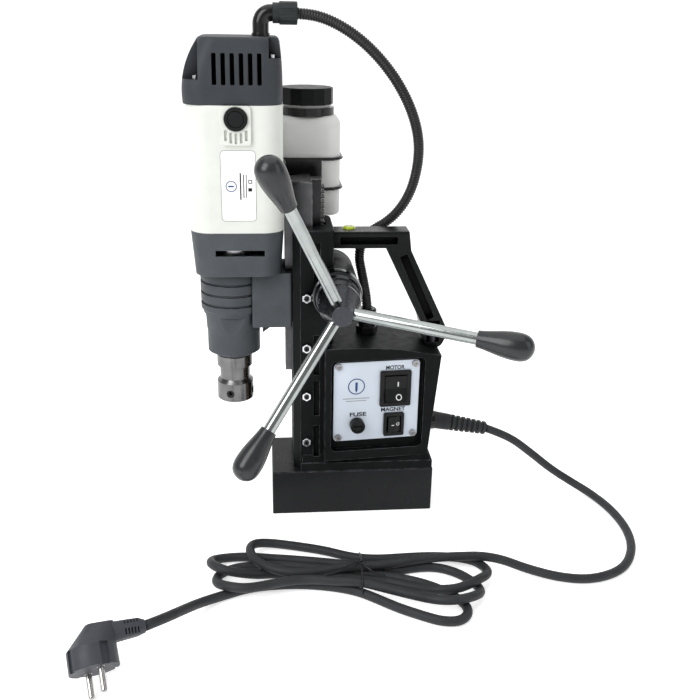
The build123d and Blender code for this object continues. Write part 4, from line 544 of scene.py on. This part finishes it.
dress(magnet_paint, "magnet_body")
dress(copper, "magnet_coil")
dress(resin, "coil_potting")
dress(black_paint, "stand_housing")
dress(handle_paint, "carry_handle")
dress(dark_steel, "housing_bolts", "handle_screws", "gib_screws", "bracket_bolts", "motor_stator",
      "arbor_set_screws", "armature")
dress(panel_metal, "control_panel")
dress(zinc, "gib_lock_nuts", "cap_screws")
dress(screw_nickel, "panel_screws")
dress(switch_black, "motor_switch_body", "magnet_switch_body", "fuse_holder_body", "motor_rocker",
      "magnet_rocker", "fuse_cap", "brush_caps")
dress(board, "control_board")
dress(level_fluid, "level_vial")
dress(bronze, "gib_strip", "pinion_bushes")
dress(gunmetal, "feed_hub")
dress(flange_steel, "pinion_flange")
dress(gloss_black, "cord_gland", "conduit_gland", "conduit_elbow", "bottle_bracket", "bottle_wires")
dress(lid_black, "bottle_cap")
dress(plug_rubber, "plug_body")
dress(rubber, "cord_strain_relief", "cord_tie", "power_cord", "cord_hank", "cord_tail")
dress(nickel, "plug_pins")
dress(conduit_black, "motor_conduit")
cord.data.materials.append(rubber)
conduit.data.materials.append(conduit_black)
for name in ("hank_tie", *tie_ends):
    bpy.data.objects[name].data.materials.append(conduit_black)
dress(slide_steel, "slide_bar")
dress(rack_steel, "feed_rack")
dress(steel, "pinion_shaft", "bearings", "idler_gear", "spindle_gear")
dress(turned_steel, "arbor")
dress(chrome, "feed_spokes")
dress(knob_plastic, "feed_knobs")
dress(grey_cast, "motor_bracket", "gearbox_collar", "gear_nose")
dress(motor_white, "motor_housing")
dress(cap_plastic, "motor_cap")
dress(nut_plastic, "elbow_gland_nut")
dress(carbon, "carbon_brushes")
dress(bottle_plastic, "coolant_bottle")

# ---- the printed panel, the rocker marks and the motor's label ----
panel_turn = math.radians(5.4)
panel_plane = ((22.4, -40, 124), (math.cos(panel_turn), math.sin(panel_turn), 0), (0, 0, 1))
rocker_lift = 0.12
print_lift = 0.2
panel = Sheet("control_panel", *panel_plane, "stand", "panel_alu")
panel.lay("panel_words", [
    letters("MOTOR", 18.5, 35, 19, 4.4),
    letters("FUSE", -18.3, -13.8, 17, 4.4),
    letters("MAGNET", 17.6, -10.3, 25, 4.4),
], ink_black)
panel.lay("panel_emblem", [
    ring(-20.5, 16.5, 8.6, 7.5), bar(-21.7, 12.5, -19.3, 21),
    [[(-21.7, 12.5), (-20.5, 9.8), (-19.3, 12.5)]],
], ink_blue)
panel.lay("panel_fine_print", [bar(-34, 3.2, -7, 4.1), bar(-31, 0.6, -10, 1.4)], ink_grey)
motor_marks = Sheet("motor_rocker", *panel_plane, "motor_switch", "switch_plastic")
motor_marks.lay("motor_switch_marks", [
    bar(20.6, 15.4, 21.7, 20.4), ring(21.6, 4.9, 3.1, 2.2),
], ink_white, rocker_lift)
magnet_marks = Sheet("magnet_rocker", *panel_plane, "magnet_switch", "switch_plastic")
magnet_marks.lay("magnet_switch_marks", [
    bar(16, -27.6, 18.6, -26.8), ring(22.6, -26.3, 1.7, 1.1),
], ink_white, rocker_lift)
label = Sheet("motor_housing", (-109, -44, 340), (1, 0, 0), (0, 0, 1), "carriage", "motor_white")
label.lay("label_plate", [[round_box(-15.2, -31.2, 15.2, 31.2, 3.2)]], label_white, 0.14)
label.lay("label_border", [
    frame_of(round_box(-15.7, -31.7, 15.7, 31.7, 3.6), round_box(-15.2, -31.2, 15.2, 31.2, 3.2)),
], ink_grey, print_lift)
label.lay("label_emblem", [
    ring(-6.5, 0, 5, 4.2), bar(-9.2, -0.7, -5, 0.7),
    [[(-5, -0.7), (-3.2, 0), (-5, 0.7)]],
], ink_blue, print_lift)
label.lay("label_fine_print", [
    bar(1.2, -12, 2.4, 12), bar(4.2, -10.5, 5, 10.5), bar(6.6, -10.5, 7.3, 10.5),
    frame_of(round_box(8.8, 2.5, 12.2, 5.9, 0.3), round_box(9.5, 3.2, 11.5, 5.2, 0.2)),
    bar(8.6, -4.5, 12, -1.5),
], ink_black, print_lift)
level_mark = Sheet("level_vial", (-4.7, 4.1, 292.3), (1, 0, 0), (0, 1, 0), "stand", "level_fluid")
level_mark.lay("level_ring", [ring(0, 0, 3.0, 2.4)], ink_black, 0.05)

# ---- floor and light ----
# in metres: flat from its front, a quarter round at the back, then upright
floor_front, floor_back, floor_side = -14.0, 2.2, 9
bend_radius, bend_steps, wall_top = 1.2, 16, 4.5
sweep = bmesh.new()
rows = [(floor_front, 0.0), (floor_back, 0.0)]
for k in range(1, bend_steps + 1):
    angle = TAU / 4 * k / bend_steps
    rows.append((floor_back + bend_radius * math.sin(angle), bend_radius - bend_radius * math.cos(angle)))
rows.append((floor_back + bend_radius, wall_top))
edge_left = [sweep.verts.new((-floor_side, y, z)) for y, z in rows]
edge_right = [sweep.verts.new((floor_side, y, z)) for y, z in rows]
for k in range(len(rows) - 1):
    sweep.faces.new((edge_left[k], edge_right[k], edge_right[k + 1], edge_left[k + 1]))
floor = mesh_piece("floor_sweep", sweep)
floor_material = surface("floor_paint", (0.88, 0.88, 0.88), (0.87, 0.87, 0.87), (0.7, 0.8),
                         blotch=3, specular=0.1)
floor_shader = floor_material.node_tree.nodes["Principled BSDF"]
floor_shader.inputs["Emission Color"].default_value = (1, 1, 1, 1)
floor_shader.inputs["Emission Strength"].default_value = 0.58
floor.data.materials.append(floor_material)


def area_light(name, place, target, size, power):
    """A white rectangular light at place that looks at target."""
    data = bpy.data.lights.new(name, "AREA")
    data.shape = "RECTANGLE"
    data.size, data.size_y = size
    data.energy = power
    light = bpy.data.objects.new(name, data)
    bpy.context.scene.collection.objects.link(light)
    light.location = place
    light.rotation_euler = (Vector(target) - Vector(place)).to_track_quat("-Z", "Y").to_euler()


area_light("key_left", (-0.9, -0.9, 1.1), (0, 0, 0.2), (0.8, 1.2), 17)
area_light("fill_right", (1.1, -0.7, 0.8), (0, 0, 0.2), (0.7, 1.2), 3.5)
area_light("top", (0, 0.1, 1.6), (0, 0, 0), (1.6, 1.6), 9)
world = bpy.data.worlds.new("world")
world.use_nodes = True
world.node_tree.nodes["Background"].inputs["Color"].default_value = (1, 1, 1, 1)
world.node_tree.nodes["Background"].inputs["Strength"].default_value = 0.33
bpy.context.scene.world = world
bpy.context.scene.view_settings.view_transform = "Standard"
